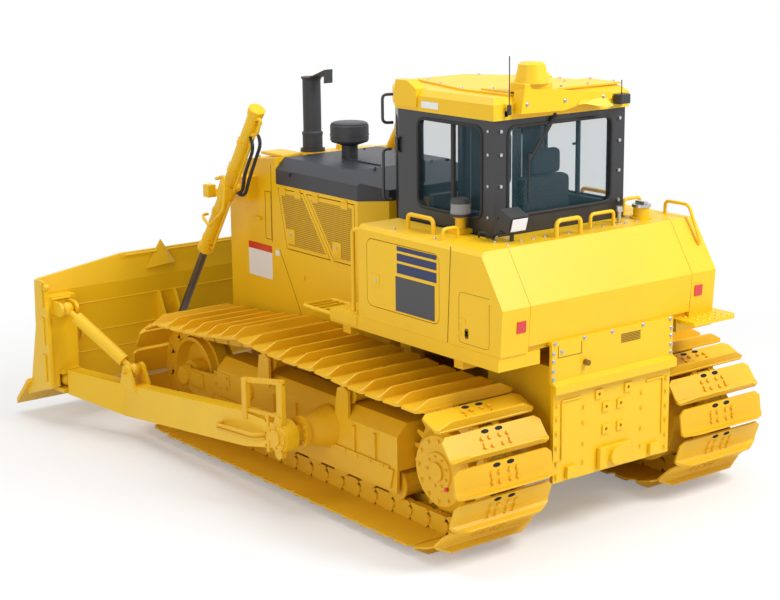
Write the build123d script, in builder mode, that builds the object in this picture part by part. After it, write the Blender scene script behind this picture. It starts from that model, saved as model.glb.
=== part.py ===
"""Crawler bulldozer with a straight tilting blade, wide low-pressure tracks and a closed cab.

The frame: +X is forward, +Y is left, +Z is up, and the ground is Z = 0. The origin lies on the
ground, midway between the rearmost and the foremost point. Sizes are millimetres.
"""
from math import atan2, cos, pi, radians, sin, sqrt
import os

from build123d import *

# Overall reach, counted from the sprocket axle
cutting_tip_reach = 5100
link_pitch = 216
sprocket_pitches = 12.5
pin_to_plate = 70
shoe_plate = 14
grouser_height = 72
pitch_to_tip = pin_to_plate + shoe_plate + grouser_height
sprocket_radius = link_pitch / (2 * sin(pi / sprocket_pitches))
axle_height = sprocket_radius + pitch_to_tip
tail_reach = 582.7
nose_reach = cutting_tip_reach + 3.5
sprocket_x = (tail_reach - nose_reach) / 2


def ahead(distance):
    """The X of a point that lies this far ahead of the sprocket axle."""
    return sprocket_x + distance


def outward(y):
    """A plane at this Y that reads X to the right and Z up, facing the right side."""
    return Plane.XZ.offset(-y)


def level(z):
    """A plane at this height that reads X and Y."""
    return Plane.XY.offset(z)


def crosswise(x):
    """A plane at this X that reads Y and Z, facing forward."""
    return Plane.YZ.offset(x)


# Tracks
gauge = 2250
track_y = gauge / 2
shoe_width = 910
shoe_count = 45
idler_reach = 3480
idler_pitch_radius = 405
idler_height = idler_pitch_radius + pitch_to_tip
carrier_reaches = [1150, 2236]
carrier_lifts = [1054, 1091]
top_run_sag = 22
link_half_height = 68
link_bar_width = 58
link_bar_offset = 92
grouser_thickness = 18
shoe_lip = 26
rail_height = pitch_to_tip + link_half_height

# Track frame and its rollers
beam_width = 400
beam_bottom = 465
beam_top = 822
beam_chamfer = 95
beam_rear_reach = 470
beam_front_reach = 2960
roller_count = 8
roller_radius = 108
roller_first_reach = 560
roller_last_reach = 3030
roller_flange = 18
roller_axle_radius = 36
roller_gap = 0.5
carrier_radius = 70
carrier_axle_radius = 30
carrier_gap = 12

# Hull
hull_half_width = 600
hull_rear_reach = -430
case_front_reach = 380
case_bottom = 450
case_top = 1160
rail_half_spread = 470
rail_thickness = 60
rail_bottom = 470
rail_top = 900
rail_front_reach = 3700
guard_plate = 20

# Engine and hood
engine_rear_reach = 1950
engine_front_reach = 2950
engine_half_width = 340
engine_bottom = 860
engine_top = 1980
hood_half_width = 600
hood_sheet = 30
hood_rear_reach = 1740
hood_taper_reach = 1900
hood_taper_half_width = 400
hood_joint_z = 2222
hood_crest_z = 2445
hood_slope_top_reach = 2088
hood_slope_bottom_reach = 1780
hood_top_chamfer = 95
mask_rear_reach = 3075
mask_front_reach = 3820
mask_bottom = 900
mask_top = 2390
mask_wall = 40
grille_frame = 90
grille_depth = 50
grille_slats = 12
door_sheet = 12
door_gap = 8
door_bottom_z = 1672
door_front_foot_reach = 2930
door_front_head_reach = 3050
door_seam_head_reach = 2650
door_seam_foot_reach = 2260
door_rear_reach = 1900

# Exhaust and air intake
exhaust_reach = 3225
exhaust_y = 100
exhaust_radius = 80
exhaust_foot_radius = 88
exhaust_step_z = 2610
exhaust_tip_z = 3095
intake_reach = 2675
intake_y = 100
intake_radius = 165
intake_neck_radius = 70
intake_drum_bottom = 2585
intake_drum_top = 2742

# Side boxes and rear tank
box_half_width = 1086
box_inner = 692
box_bottom = 1472
box_top = 2190
box_front_reach = 1243
box_rear_reach = -402
box_kink_reach = -425
box_kink_z = 1810
box_slope_reach = -184
box_edge_radius = 45
box_seam_reach = 150
box_skin = 60
tank_half_width = 822
tank_gap = 4
tank_front_reach = 150
flap_inset = 110
flap_thickness = 24
flap_bottom = 1585
flap_top = 2100
flap_rear_reach = 270
flap_front_reach = 1130

# Fenders and steps
fender_thickness = 104
fender_top = 1470
fender_inner = 700
fender_outer = 1092
fender_rear_reach = -390
fender_front_reach = 1613
step_rear_reach = -632
step_front_reach = -210
step_outer = 1190
step_plate = 30
hoop_tube = 17

# Cab
cab_rear_reach = 160
cab_side_front_reach = 1272
cab_front_reach = 1700
cab_half_width = 662
cab_front_half_width = 360
cab_wall = 60
cab_floor_z = 1480
cab_sill_z = 1560
cab_eave_z = 3040
cab_roof_z = 3200
roof_overhang = 20
roof_wall = 50
window_radius = 60
side_window_rear_reach = 289
side_window_front_reach = 1038
side_window_bottom = 2305
side_window_top = 2990
rear_window_half_width = 530
rear_window_bottom = 2319
rear_window_top = 2990
glass_thickness = 8
door_frame = 75
door_clearance = 8

# Trunnions, arms and blade
trunnion_reach = 1360
trunnion_z = 605
trunnion_ball = 88
boss_root_radius = 170
arm_y = 1708
arm_width = 132
arm_depth = 285
arm_bend_reach = 3770
arm_bend_z = 345
arm_plate_gap = 2
ball_reach = 4500
ball_y = 1950
ball_z = 420
ball_radius = 66
blade_half_width = 2182.5
end_plate_y = 2150
blade_back_reach = 4600
blade_edge_back_reach = 4440
blade_top_centre_z = 1455
blade_top_corner_z = 1335
blade_ridge_y = 1265
blade_crease_z = 1215
blade_foot_z = 330
blade_top_front_reach = 4665
blade_foot_front_reach = 4800
blade_plate = 30
tip_z = 92
edge_plate = 38
lug_y = 850
lug_reach = 4482
lug_z = 655
lug_half_gap = 70
lug_plate = 28
lug_radius = 82

# Braces
brace_foot_reach = 3711
brace_foot_z = 622
brace_head_reach = 4350
brace_head_y = 1997
brace_head_z = 1099
brace_radius = 56
brace_eye_radius = 58

# Lift cylinders
lift_pivot_reach = 3463
lift_pivot_z = 2151
lift_barrel_radius = 58
lift_rod_radius = 36
lift_head_length = 905
lift_gland_length = 715
lift_rod_length = 1750
lift_eye_width = 76
lift_eye_radius = 72

os.makedirs("parts", exist_ok=True)


def keep(piece, name):
    """Label a finished piece and write it to its own file."""
    piece.part.label = name
    export_step(piece.part, f"parts/{name}.step")


def keep_pair(left, name):
    """Write a left piece and its mirror image on the right."""
    keep(left, f"{name}_left")
    with BuildPart() as right:
        mirror(left.part, about=Plane.XZ)
    keep(right, f"{name}_right")


def tube(points, radius, bend):
    """A round tube along straight runs joined by arcs."""
    with BuildPart() as run:
        with BuildLine() as route:
            FilletPolyline(*points, radius=bend)
        with BuildSketch(Plane(origin=route.line @ 0, z_dir=route.line % 0)):
            RegularPolygon(radius, 8, major_radius=False)
        sweep(path=route.line)
    return run.part


def between(start, end):
    """A plane at the start whose normal points to the end."""
    return Plane(origin=start, z_dir=Vector(*end) - Vector(*start))


# Track loop: the pitch line runs through the link pins
idler_x = ahead(idler_reach)
carrier_points = [(ahead(reach), lift) for reach, lift in zip(carrier_reaches, carrier_lifts)]
sprocket_crest = (sprocket_x, axle_height + sprocket_radius)
idler_crest = (idler_x, idler_height + idler_pitch_radius)
top_supports = [idler_crest, *reversed(carrier_points), sprocket_crest]

with BuildLine() as pitch_line:
    Line((sprocket_x, pitch_to_tip), (idler_x, pitch_to_tip))
    ThreePointArc(
        (idler_x, pitch_to_tip),
        (idler_x + idler_pitch_radius, idler_height),
        idler_crest,
    )
    for start, end in zip(top_supports, top_supports[1:]):
        middle = ((start[0] + end[0]) / 2, (start[1] + end[1]) / 2 - top_run_sag)
        ThreePointArc(start, middle, end)
    ThreePointArc(
        sprocket_crest,
        (sprocket_x - sprocket_radius, axle_height),
        (sprocket_x, pitch_to_tip),
    )

pins = [pitch_line.wire() @ (count / shoe_count) for count in range(shoe_count)]


def around_loop(stations):
    """Points at (share of the link, height outside the pitch line) for every link in turn."""
    points = []
    for pin, following in zip(pins, pins[1:] + pins[:1]):
        along = (following - pin).normalized()
        outside = Vector(along.Y, -along.X)
        for share, height in stations:
            spot = pin + (following - pin) * share + outside * height
            points.append((spot.X, spot.Y))
    return points


grouser_front = 1 - shoe_lip / link_pitch
grouser_rear = grouser_front - grouser_thickness / link_pitch
plate_face = pin_to_plate + shoe_plate
shoe_seam = 3
shoe_outline = around_loop([
    (0, plate_face - shoe_seam),
    (shoe_seam / link_pitch, plate_face),
    (grouser_rear - 40 / link_pitch, plate_face),
    (grouser_rear - 14 / link_pitch, plate_face + 14),
    (grouser_rear - 3 / link_pitch, plate_face + 36),
    (grouser_rear, pitch_to_tip),
    (grouser_front, pitch_to_tip),
    (grouser_front, plate_face),
])
shoe_inside = around_loop([(0, pin_to_plate)])
link_outside = around_loop([(0, pin_to_plate + shoe_plate / 2)])
link_inside = around_loop([(0.12, -link_half_height), (0.88, -link_half_height)])

with BuildPart() as track:
    with BuildSketch(outward(track_y + shoe_width / 2)):
        Polygon(*shoe_outline, align=None)
        Polygon(*shoe_inside, align=None, mode=Mode.SUBTRACT)
    extrude(amount=shoe_width)
    for side in (-1, 1):
        with BuildSketch(outward(track_y + side * link_bar_offset + link_bar_width / 2)):
            Polygon(*link_outside, align=None)
            Polygon(*link_inside, align=None, mode=Mode.SUBTRACT)
        extrude(amount=link_bar_width)
keep_pair(track, "track")

# Rollers turn about axles along Y
roller_tread_outer = link_bar_offset + link_bar_width / 2 + 3
roller_tread_inner = link_bar_offset - link_bar_width / 2 - 3
roller_z = rail_height + roller_gap + roller_radius
roller_sides = 14
axle_sides = 8
roller_spacing = (roller_last_reach - roller_first_reach) / (roller_count - 1)
cheek_inner = 176
cheek_plate = 24


def drum(x, z, half_length, radius, sides):
    """A many-sided drum across the left track, centred on its middle line."""
    with BuildPart() as one:
        with BuildSketch(outward(track_y + half_length)):
            with Locations((x, z)):
                RegularPolygon(radius, sides)
        extrude(amount=2 * half_length)
    return one.part


def roller(x, z, tread_radius, axle_radius, half_length):
    """A flanged roller on its fixed axle, centred in the left track."""
    with BuildPart() as one:
        add(drum(x, z, roller_tread_outer + roller_flange, tread_radius + roller_flange, roller_sides))
        with BuildSketch(outward(track_y + roller_tread_outer)):
            with Locations((x, z)):
                RegularPolygon(tread_radius + 2 * roller_flange, roller_sides)
                RegularPolygon(tread_radius, roller_sides, mode=Mode.SUBTRACT)
        extrude(amount=2 * roller_tread_outer, mode=Mode.SUBTRACT)
        add(drum(x, z, half_length, axle_radius, axle_sides))
    return one.part


with BuildPart() as track_rollers:
    for count in range(roller_count):
        roller_x = ahead(roller_first_reach + count * roller_spacing)
        add(roller(roller_x, roller_z, roller_radius, roller_axle_radius, cheek_inner))
    mirror(about=Plane.XZ)
keep(track_rollers, "track_rollers")

# Carrier rollers hold the top run up; each sits on an arm that rises from the frame
with BuildPart() as carrier_rollers:
    for carrier_x, pin_line_z in carrier_points:
        carrier_z = pin_line_z - link_half_height - carrier_gap - carrier_radius
        add(roller(carrier_x, carrier_z, carrier_radius, carrier_axle_radius, cheek_inner))
    mirror(about=Plane.XZ)
keep(carrier_rollers, "carrier_rollers")

# Idlers and sprockets
idler_rim_radius = sqrt(idler_pitch_radius**2 - (link_pitch / 2) ** 2) - link_half_height - roller_gap
idler_guide_radius = idler_rim_radius + 30
idler_guide_half = roller_tread_inner - 4
idler_hub_radius = 120
idler_axle_radius = 55
idler_web = 22


def wheel(x, z, profile):
    """A wheel of revolution in the left track, from half of its (offset, radius) profile."""
    with BuildPart() as one:
        with BuildSketch(Plane(origin=(x, track_y, z), x_dir=(0, 1, 0), z_dir=(1, 0, 0))):
            with BuildLine():
                Polyline(*profile, close=True)
            make_face()
            mirror(about=Plane.YZ)
        revolve(axis=Axis((x, track_y, z), (0, 1, 0)))
    return one.part


with BuildPart() as idlers:
    add(wheel(idler_x, idler_height, [
        (0, 0),
        (cheek_inner, 0),
        (cheek_inner, idler_axle_radius),
        (cheek_inner - 26, idler_axle_radius),
        (cheek_inner - 26, idler_hub_radius),
        (idler_web, idler_hub_radius),
        (idler_web, idler_rim_radius - 50),
        (roller_tread_outer, idler_rim_radius - 30),
        (roller_tread_outer, idler_rim_radius),
        (idler_guide_half, idler_rim_radius),
        (idler_guide_half, idler_guide_radius),
        (0, idler_guide_radius),
    ]))
    mirror(about=Plane.XZ)
keep(idlers, "idlers")

tooth_count = 25
tooth_half = 36
tooth_root_radius = sprocket_radius - 34
tooth_tip_radius = sprocket_radius + 34
tooth_root_half = radians(3.6)
tooth_tip_half = radians(1.6)
hub_radius = 300
hub_outer_half = 190
drive_radius = 345
drive_inner = 518
drive_neck_radius = 240
drive_shoulder_y = 760

teeth = []
for count in range(tooth_count):
    centre = 2 * pi * (count + 0.5) / tooth_count
    for turn, radius in (
        (centre - tooth_root_half, tooth_root_radius),
        (centre - tooth_tip_half, tooth_tip_radius),
        (centre + tooth_tip_half, tooth_tip_radius),
        (centre + tooth_root_half, tooth_root_radius),
    ):
        teeth.append((sprocket_x + radius * cos(turn), axle_height + radius * sin(turn)))

with BuildPart() as sprockets:
    with BuildSketch(outward(track_y + tooth_half)):
        Polygon(*teeth, align=None)
    extrude(amount=2 * tooth_half)
    with BuildSketch(outward(track_y + hub_outer_half)):
        with Locations((sprocket_x, axle_height)):
            Circle(hub_radius)
    extrude(amount=hub_outer_half - tooth_half)
    chamfer(faces().sort_by(Axis.Y)[-1].edges(), 40)
    with BuildSketch(outward(track_y - tooth_half)):
        with Locations((sprocket_x, axle_height)):
            Circle(drive_radius)
    extrude(amount=track_y - tooth_half - drive_shoulder_y)
    with BuildSketch(outward(drive_shoulder_y)):
        with Locations((sprocket_x, axle_height)):
            Circle(drive_neck_radius)
    extrude(amount=drive_shoulder_y - drive_inner)
    mirror(about=Plane.XZ)
keep(sprockets, "sprockets")

# Track frame: chamfered beam, roller cheeks, idler fork, carrier arms and the arm trunnion
beam_rear_x = ahead(beam_rear_reach)
beam_front_x = ahead(beam_front_reach)
beam_middle = (beam_rear_x + beam_front_x) / 2
beam_length = beam_front_x - beam_rear_x
cheek_bottom = roller_z - 46
fork_half = 62
trunnion_x = ahead(trunnion_reach)
boss_end_y = 1560
flange_radius = 128
flange_end_y = 1598
neck_radius = 58
carrier_arm = 70

with BuildPart() as track_frame:
    with BuildSketch(crosswise(beam_rear_x)):
        with BuildLine():
            Polyline(
                (track_y - beam_width / 2, beam_bottom),
                (track_y + beam_width / 2, beam_bottom),
                (track_y + beam_width / 2, beam_top - beam_chamfer),
                (track_y + beam_width / 2 - beam_chamfer, beam_top),
                (track_y - beam_width / 2 + beam_chamfer, beam_top),
                (track_y - beam_width / 2, beam_top - beam_chamfer),
                close=True,
            )
        make_face()
    extrude(amount=beam_length)
    for side in (-1, 1):
        cheek_face = track_y + side * (cheek_inner + cheek_plate / 2) + cheek_plate / 2
        with BuildSketch(outward(cheek_face)):
            with BuildLine():
                Polyline(
                    (ahead(roller_first_reach) - 80, cheek_bottom),
                    (ahead(roller_last_reach) + 60, cheek_bottom),
                    (idler_x + 70, idler_height - fork_half),
                    (idler_x + 70, idler_height + fork_half),
                    (beam_front_x - 20, beam_top - beam_chamfer - 60),
                    (beam_front_x - 60, beam_bottom + 30),
                    (beam_rear_x, beam_bottom + 30),
                    close=True,
                )
            make_face()
        extrude(amount=cheek_plate)
    for carrier_x, pin_line_z in carrier_points:
        carrier_z = pin_line_z - link_half_height - carrier_gap - carrier_radius
        with BuildSketch(outward(track_y + cheek_inner + cheek_plate)):
            with BuildLine():
                Polyline(
                    (carrier_x - carrier_arm, beam_top - beam_chamfer - 20),
                    (carrier_x + carrier_arm + 40, beam_top - beam_chamfer - 20),
                    (carrier_x + carrier_arm, carrier_z + 40),
                    (carrier_x, carrier_z + carrier_arm),
                    (carrier_x - carrier_arm, carrier_z + 40),
                    close=True,
                )
            make_face()
        extrude(amount=cheek_plate)
    with BuildSketch(outward(track_y + beam_width / 2)) as boss_root:
        with Locations((trunnion_x, trunnion_z)):
            Circle(boss_root_radius)
    with BuildSketch(outward(boss_end_y)) as boss_end:
        with Locations((trunnion_x, trunnion_z)):
            Circle(flange_radius - 30)
    loft([boss_root.sketch, boss_end.sketch])
    with BuildSketch(outward(flange_end_y)):
        with Locations((trunnion_x, trunnion_z)):
            Circle(flange_radius)
    extrude(amount=flange_end_y - boss_end_y)
    with BuildSketch(outward(arm_y)):
        with Locations((trunnion_x, trunnion_z)):
            Circle(neck_radius)
    extrude(amount=arm_y - flange_end_y)
    with Locations((trunnion_x, arm_y, trunnion_z)):
        Sphere(trunnion_ball)
keep_pair(track_frame, "track_frame")

# Push arm: straight beside the track, then cranked outward to the blade's ball
arm_bend_x = ahead(arm_bend_reach)
arm_start = 95
arm_front_reach = 4400
arm_front_depth = 225
socket_radius = 122
socket_width = 110
ball_neck = 42
bore_gap = 1
foot_lug = 28
foot_gap = 58.5
foot_x = ahead(brace_foot_reach)


def arm_section(reach, y, z, depth, width):
    """A cross-section of the arm's box beam."""
    with BuildSketch(crosswise(ahead(reach))) as section:
        with Locations((y, z)):
            Rectangle(width, depth)
    return section.sketch


arm_fall = (trunnion_z - arm_bend_z) / (arm_bend_reach - trunnion_reach)
arm_rear_z = trunnion_z - arm_fall * arm_start
with BuildPart() as push_arm:
    loft([
        arm_section(trunnion_reach + arm_start, arm_y, arm_rear_z, arm_depth * 0.7, arm_width),
        arm_section(trunnion_reach + 500, arm_y, trunnion_z - arm_fall * 500, arm_depth, arm_width),
        arm_section(arm_bend_reach, arm_y, arm_bend_z, arm_depth, arm_width),
        arm_section(arm_front_reach, ball_y - 12, ball_z - 6, arm_front_depth, arm_width),
    ], ruled=True)
    with BuildSketch(outward(arm_y + socket_width / 2 + 18)):
        with Locations((trunnion_x, trunnion_z)):
            Circle(socket_radius)
    extrude(amount=socket_width)
    with Locations((trunnion_x, arm_y, trunnion_z)):
        Sphere(trunnion_ball + bore_gap, mode=Mode.SUBTRACT)
    with BuildSketch(outward(arm_y)):
        with Locations((trunnion_x, trunnion_z)):
            Circle(neck_radius + 22)
    extrude(amount=socket_width, mode=Mode.SUBTRACT)
    with BuildSketch(Plane(origin=(ahead(arm_front_reach) - 20, ball_y, ball_z), z_dir=(1, 0, 0))):
        Circle(ball_neck)
    extrude(amount=ball_reach - arm_front_reach + 20)
    with Locations((ahead(ball_reach), ball_y, ball_z)):
        Sphere(ball_radius)
    for side in (-1, 1):
        with BuildSketch(outward(arm_y + side * (foot_gap + foot_lug / 2) + foot_lug / 2)):
            with BuildLine():
                Polyline(
                    (foot_x - 150, arm_bend_z + arm_depth / 2 - 20),
                    (foot_x + 120, arm_bend_z + arm_depth / 2 - 20),
                    (foot_x + 50, brace_foot_z + 40),
                    (foot_x, brace_foot_z + 62),
                    (foot_x - 50, brace_foot_z + 40),
                    close=True,
                )
            make_face()
        extrude(amount=foot_lug)
keep_pair(push_arm, "push_arm")

# Blade: curved mouldboard, end plates, back columns, ball brackets and lift lugs
blade_back_x = ahead(blade_back_reach)
lip_angle = atan2(blade_foot_z + 22 - tip_z, cutting_tip_reach - (blade_foot_front_reach + 32))
lip_run = (cos(lip_angle), -sin(lip_angle))
lip_face = (sin(lip_angle), cos(lip_angle))
lip_start = (ahead(cutting_tip_reach) - 372 * lip_run[0], tip_z - 372 * lip_run[1])
lip_length = 150
lip_plate = 40


def along_lip(distance, depth):
    """A point this far down the lip, and this deep behind its front face."""
    return (
        lip_start[0] + distance * lip_run[0] - depth * lip_face[0],
        lip_start[1] + distance * lip_run[1] - depth * lip_face[1],
    )


column_y = 1850
column_back_x = ahead(4470)
bracket_plate = 40
bracket_gaps = {1: 0.5, -1: 12}
bracket_half_width = 95
bracket_back_reach = 4425
head_cheek = 26
head_gaps = {1: 58.5, -1: 68}
head_cheek_radius = 62

with BuildPart() as blade:
    with BuildSketch(outward(end_plate_y - blade_plate)):
        with BuildLine():
            Polyline(
                (ahead(blade_top_front_reach) - 8, blade_top_centre_z),
                (blade_back_x, blade_crease_z),
                (blade_back_x, blade_foot_z),
                along_lip(lip_length, lip_plate),
                along_lip(lip_length, 0),
                lip_start,
            )
            ThreePointArc(
                lip_start,
                (ahead(4668), 860),
                (ahead(blade_top_front_reach) + 28, blade_top_centre_z),
            )
            Line(
                (ahead(blade_top_front_reach) + 28, blade_top_centre_z),
                (ahead(blade_top_front_reach) - 8, blade_top_centre_z),
            )
        make_face()
    extrude(amount=2 * (end_plate_y - blade_plate))
    for side in (-1, 1):
        with BuildSketch(crosswise(blade_back_x - 50)):
            with BuildLine():
                Polyline(
                    (side * blade_ridge_y, blade_top_centre_z),
                    (side * (end_plate_y + 10), blade_top_corner_z),
                    (side * (end_plate_y + 10), blade_top_centre_z + 20),
                    (side * blade_ridge_y, blade_top_centre_z + 20),
                    close=True,
                )
            make_face()
        extrude(amount=300, mode=Mode.SUBTRACT)
        with BuildSketch(outward(side * (end_plate_y - blade_plate / 2) + blade_plate / 2)):
            with BuildLine():
                Polyline(
                    (ahead(blade_edge_back_reach), blade_foot_z + 40),
                    (ahead(blade_edge_back_reach), 930),
                    (ahead(blade_edge_back_reach) + 40, blade_top_corner_z),
                    (ahead(blade_top_front_reach), blade_top_corner_z),
                    (ahead(blade_top_front_reach) + 20, 900),
                    lip_start,
                    along_lip(lip_length, 0),
                    along_lip(lip_length, lip_plate),
                    (blade_back_x, blade_foot_z),
                    close=True,
                )
            make_face()
        extrude(amount=blade_plate)
        with BuildSketch(level(blade_foot_z + 40)):
            with Locations(((column_back_x + blade_back_x) / 2, side * (column_y + end_plate_y - blade_plate) / 2)):
                Rectangle(blade_back_x - column_back_x, end_plate_y - blade_plate - column_y)
        extrude(amount=blade_crease_z - blade_foot_z - 60)
        for lift in (-1, 1):
            plate_z = ball_z + lift * (ball_radius + bracket_gaps[side] + bracket_plate / 2) - bracket_plate / 2
            with BuildSketch(level(plate_z)):
                with Locations(((ahead(bracket_back_reach) + blade_back_x) / 2, side * ball_y)):
                    Rectangle(blade_back_x - ahead(bracket_back_reach), 2 * bracket_half_width)
            extrude(amount=bracket_plate)
        for cheek in (-1, 1):
            cheek_y = side * brace_head_y + cheek * (head_gaps[side] + head_cheek / 2) + head_cheek / 2
            with BuildSketch(outward(cheek_y)):
                with Locations((ahead(brace_head_reach), brace_head_z)):
                    Circle(head_cheek_radius)
                with Locations(((ahead(brace_head_reach) + column_back_x) / 2, brace_head_z)):
                    Rectangle(column_back_x - ahead(brace_head_reach), 2 * head_cheek_radius)
            extrude(amount=head_cheek)
            lug_face = side * lug_y + cheek * (lug_half_gap + lug_plate / 2) + lug_plate / 2
            with BuildSketch(outward(lug_face)):
                with BuildLine():
                    Polyline(
                        (blade_back_x, 1060),
                        (blade_back_x - 25, 1060),
                        (ahead(lug_reach) - 75, lug_z + 40),
                        (ahead(lug_reach) - 75, lug_z - 60),
                        (blade_back_x, 430),
                        close=True,
                    )
                make_face()
            extrude(amount=lug_plate)
    # The pockets that let the arm balls and their necks into the columns
    for side in (-1, 1):
        with Locations(((column_back_x + blade_back_x) / 2 - 20, side * ball_y, ball_z)):
            Box(blade_back_x - column_back_x + 40, 2 * bracket_half_width, 2 * (ball_radius + bracket_gaps[side]),
                mode=Mode.SUBTRACT)
keep(blade, "blade")

with BuildPart() as cutting_edges:
    with BuildSketch(outward(blade_half_width)):
        with BuildLine():
            Polyline(
                along_lip(0, 0),
                along_lip(0, -edge_plate),
                along_lip(340, -edge_plate),
                along_lip(372, 0),
                close=True,
            )
        make_face()
    extrude(amount=2 * blade_half_width)
keep(cutting_edges, "cutting_edges")

# Brace on the left and tilt cylinder on the right, each from the arm's lugs to the blade's cheeks
brace_foot = (foot_x, arm_y, brace_foot_z)
brace_head = (ahead(brace_head_reach), brace_head_y, brace_head_z)
brace_span = (Vector(*brace_head) - Vector(*brace_foot)).length
brace_neck_radius = 24
brace_neck_length = 125
eye_flat = sqrt(brace_eye_radius**2 - brace_neck_radius**2)


def axial(start, end):
    """A plane through the start that reads distance towards the end, and distance off that line."""
    run = (Vector(*end) - Vector(*start)).normalized()
    return Plane(origin=start, x_dir=run, z_dir=run.cross(Vector(0, 1, 0)))


def along(start, end):
    """The axis from the start to the end."""
    return Axis(start, Vector(*end) - Vector(*start))


with BuildPart() as brace_strut:
    with BuildSketch(axial(brace_foot, brace_head)):
        with BuildLine():
            ThreePointArc((-brace_eye_radius, 0), (0, brace_eye_radius), (eye_flat, brace_neck_radius))
            Polyline(
                (eye_flat, brace_neck_radius),
                (brace_neck_length, brace_neck_radius),
                (brace_neck_length, brace_radius),
                (brace_span - brace_neck_length, brace_radius),
                (brace_span - brace_neck_length, brace_neck_radius),
                (brace_span - eye_flat, brace_neck_radius),
            )
            ThreePointArc(
                (brace_span - eye_flat, brace_neck_radius),
                (brace_span, brace_eye_radius),
                (brace_span + brace_eye_radius, 0),
            )
            Line((brace_span + brace_eye_radius, 0), (-brace_eye_radius, 0))
        make_face()
    revolve(axis=along(brace_foot, brace_head))
keep(brace_strut, "brace_strut")

tilt_foot = (brace_foot[0], -brace_foot[1], brace_foot[2])
tilt_head = (brace_head[0], -brace_head[1], brace_head[2])
tilt_barrel_radius = 72
tilt_rod_radius = 36
tilt_barrel_end = 640
tilt_bore_start = 300
tilt_rod_start = 390
tilt_eye_flat = sqrt(brace_eye_radius**2 - tilt_rod_radius**2)
rod_gap = 0.5
with BuildPart() as tilt_cylinder_barrel:
    with BuildSketch(axial(tilt_foot, tilt_head)):
        with BuildLine():
            ThreePointArc((-brace_eye_radius, 0), (0, brace_eye_radius), (eye_flat, brace_neck_radius))
            Polyline(
                (eye_flat, brace_neck_radius),
                (brace_neck_length, brace_neck_radius),
                (brace_neck_length, tilt_barrel_radius),
                (tilt_barrel_end, tilt_barrel_radius),
                (tilt_barrel_end, tilt_rod_radius + rod_gap),
                (tilt_bore_start, tilt_rod_radius + rod_gap),
                (tilt_bore_start, 0),
                (-brace_eye_radius, 0),
            )
        make_face()
    revolve(axis=along(tilt_foot, tilt_head))
keep(tilt_cylinder_barrel, "tilt_cylinder_barrel")

with BuildPart() as tilt_cylinder_rod:
    with BuildSketch(axial(tilt_foot, tilt_head)):
        with BuildLine():
            Polyline(
                (brace_span + brace_eye_radius, 0),
                (tilt_rod_start, 0),
                (tilt_rod_start, tilt_rod_radius),
                (brace_span - tilt_eye_flat, tilt_rod_radius),
            )
            ThreePointArc(
                (brace_span - tilt_eye_flat, tilt_rod_radius),
                (brace_span, brace_eye_radius),
                (brace_span + brace_eye_radius, 0),
            )
        make_face()
    revolve(axis=along(tilt_foot, tilt_head))
keep(tilt_cylinder_rod, "tilt_cylinder_rod")

# Lift cylinders swing in trunnion brackets on the radiator mask
lift_pivot = (ahead(lift_pivot_reach), lug_y, lift_pivot_z)
lift_pin = (ahead(lug_reach), lug_y, lug_z)
lift_span = (Vector(*lift_pin) - Vector(*lift_pivot)).length
lift_plane = between(lift_pivot, lift_pin)
lift_collar_radius = 84
lift_collar_half = 75
lift_gland_radius = 68
lift_gland_width = 70
lift_bore_start = -845
lift_trunnion_radius = 38
lift_trunnion_inner = 610
lift_trunnion_gap = 0.5
lift_bracket_outer = 716
lift_bracket_half = 105
with BuildPart() as lift_cylinder_barrel:
    with BuildSketch(lift_plane.offset(-lift_head_length)):
        Circle(lift_barrel_radius)
    extrude(amount=lift_head_length + lift_gland_length)
    with BuildSketch(lift_plane.offset(-lift_collar_half)):
        Circle(lift_collar_radius)
    extrude(amount=2 * lift_collar_half)
    for start in (-lift_head_length, lift_gland_length - lift_gland_width):
        with BuildSketch(lift_plane.offset(start)):
            Circle(lift_gland_radius)
        extrude(amount=lift_gland_width)
    with BuildSketch(outward(lug_y)):
        with Locations((lift_pivot[0], lift_pivot[2])):
            Circle(lift_trunnion_radius)
    extrude(amount=lug_y - lift_trunnion_inner)
    with BuildSketch(lift_plane.offset(lift_bore_start)):
        Circle(lift_rod_radius + rod_gap)
    extrude(amount=lift_gland_length - lift_bore_start, mode=Mode.SUBTRACT)
keep_pair(lift_cylinder_barrel, "lift_cylinder_barrel")

with BuildPart() as lift_cylinder_rod:
    with BuildSketch(lift_plane.offset(lift_span - lift_rod_length)):
        Circle(lift_rod_radius)
    extrude(amount=lift_rod_length)
    with BuildSketch(outward(lug_y + lift_eye_width / 2)):
        with Locations((lift_pin[0], lift_pin[2])):
            Circle(lift_eye_radius)
    extrude(amount=lift_eye_width)
keep_pair(lift_cylinder_rod, "lift_cylinder_rod")

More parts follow.
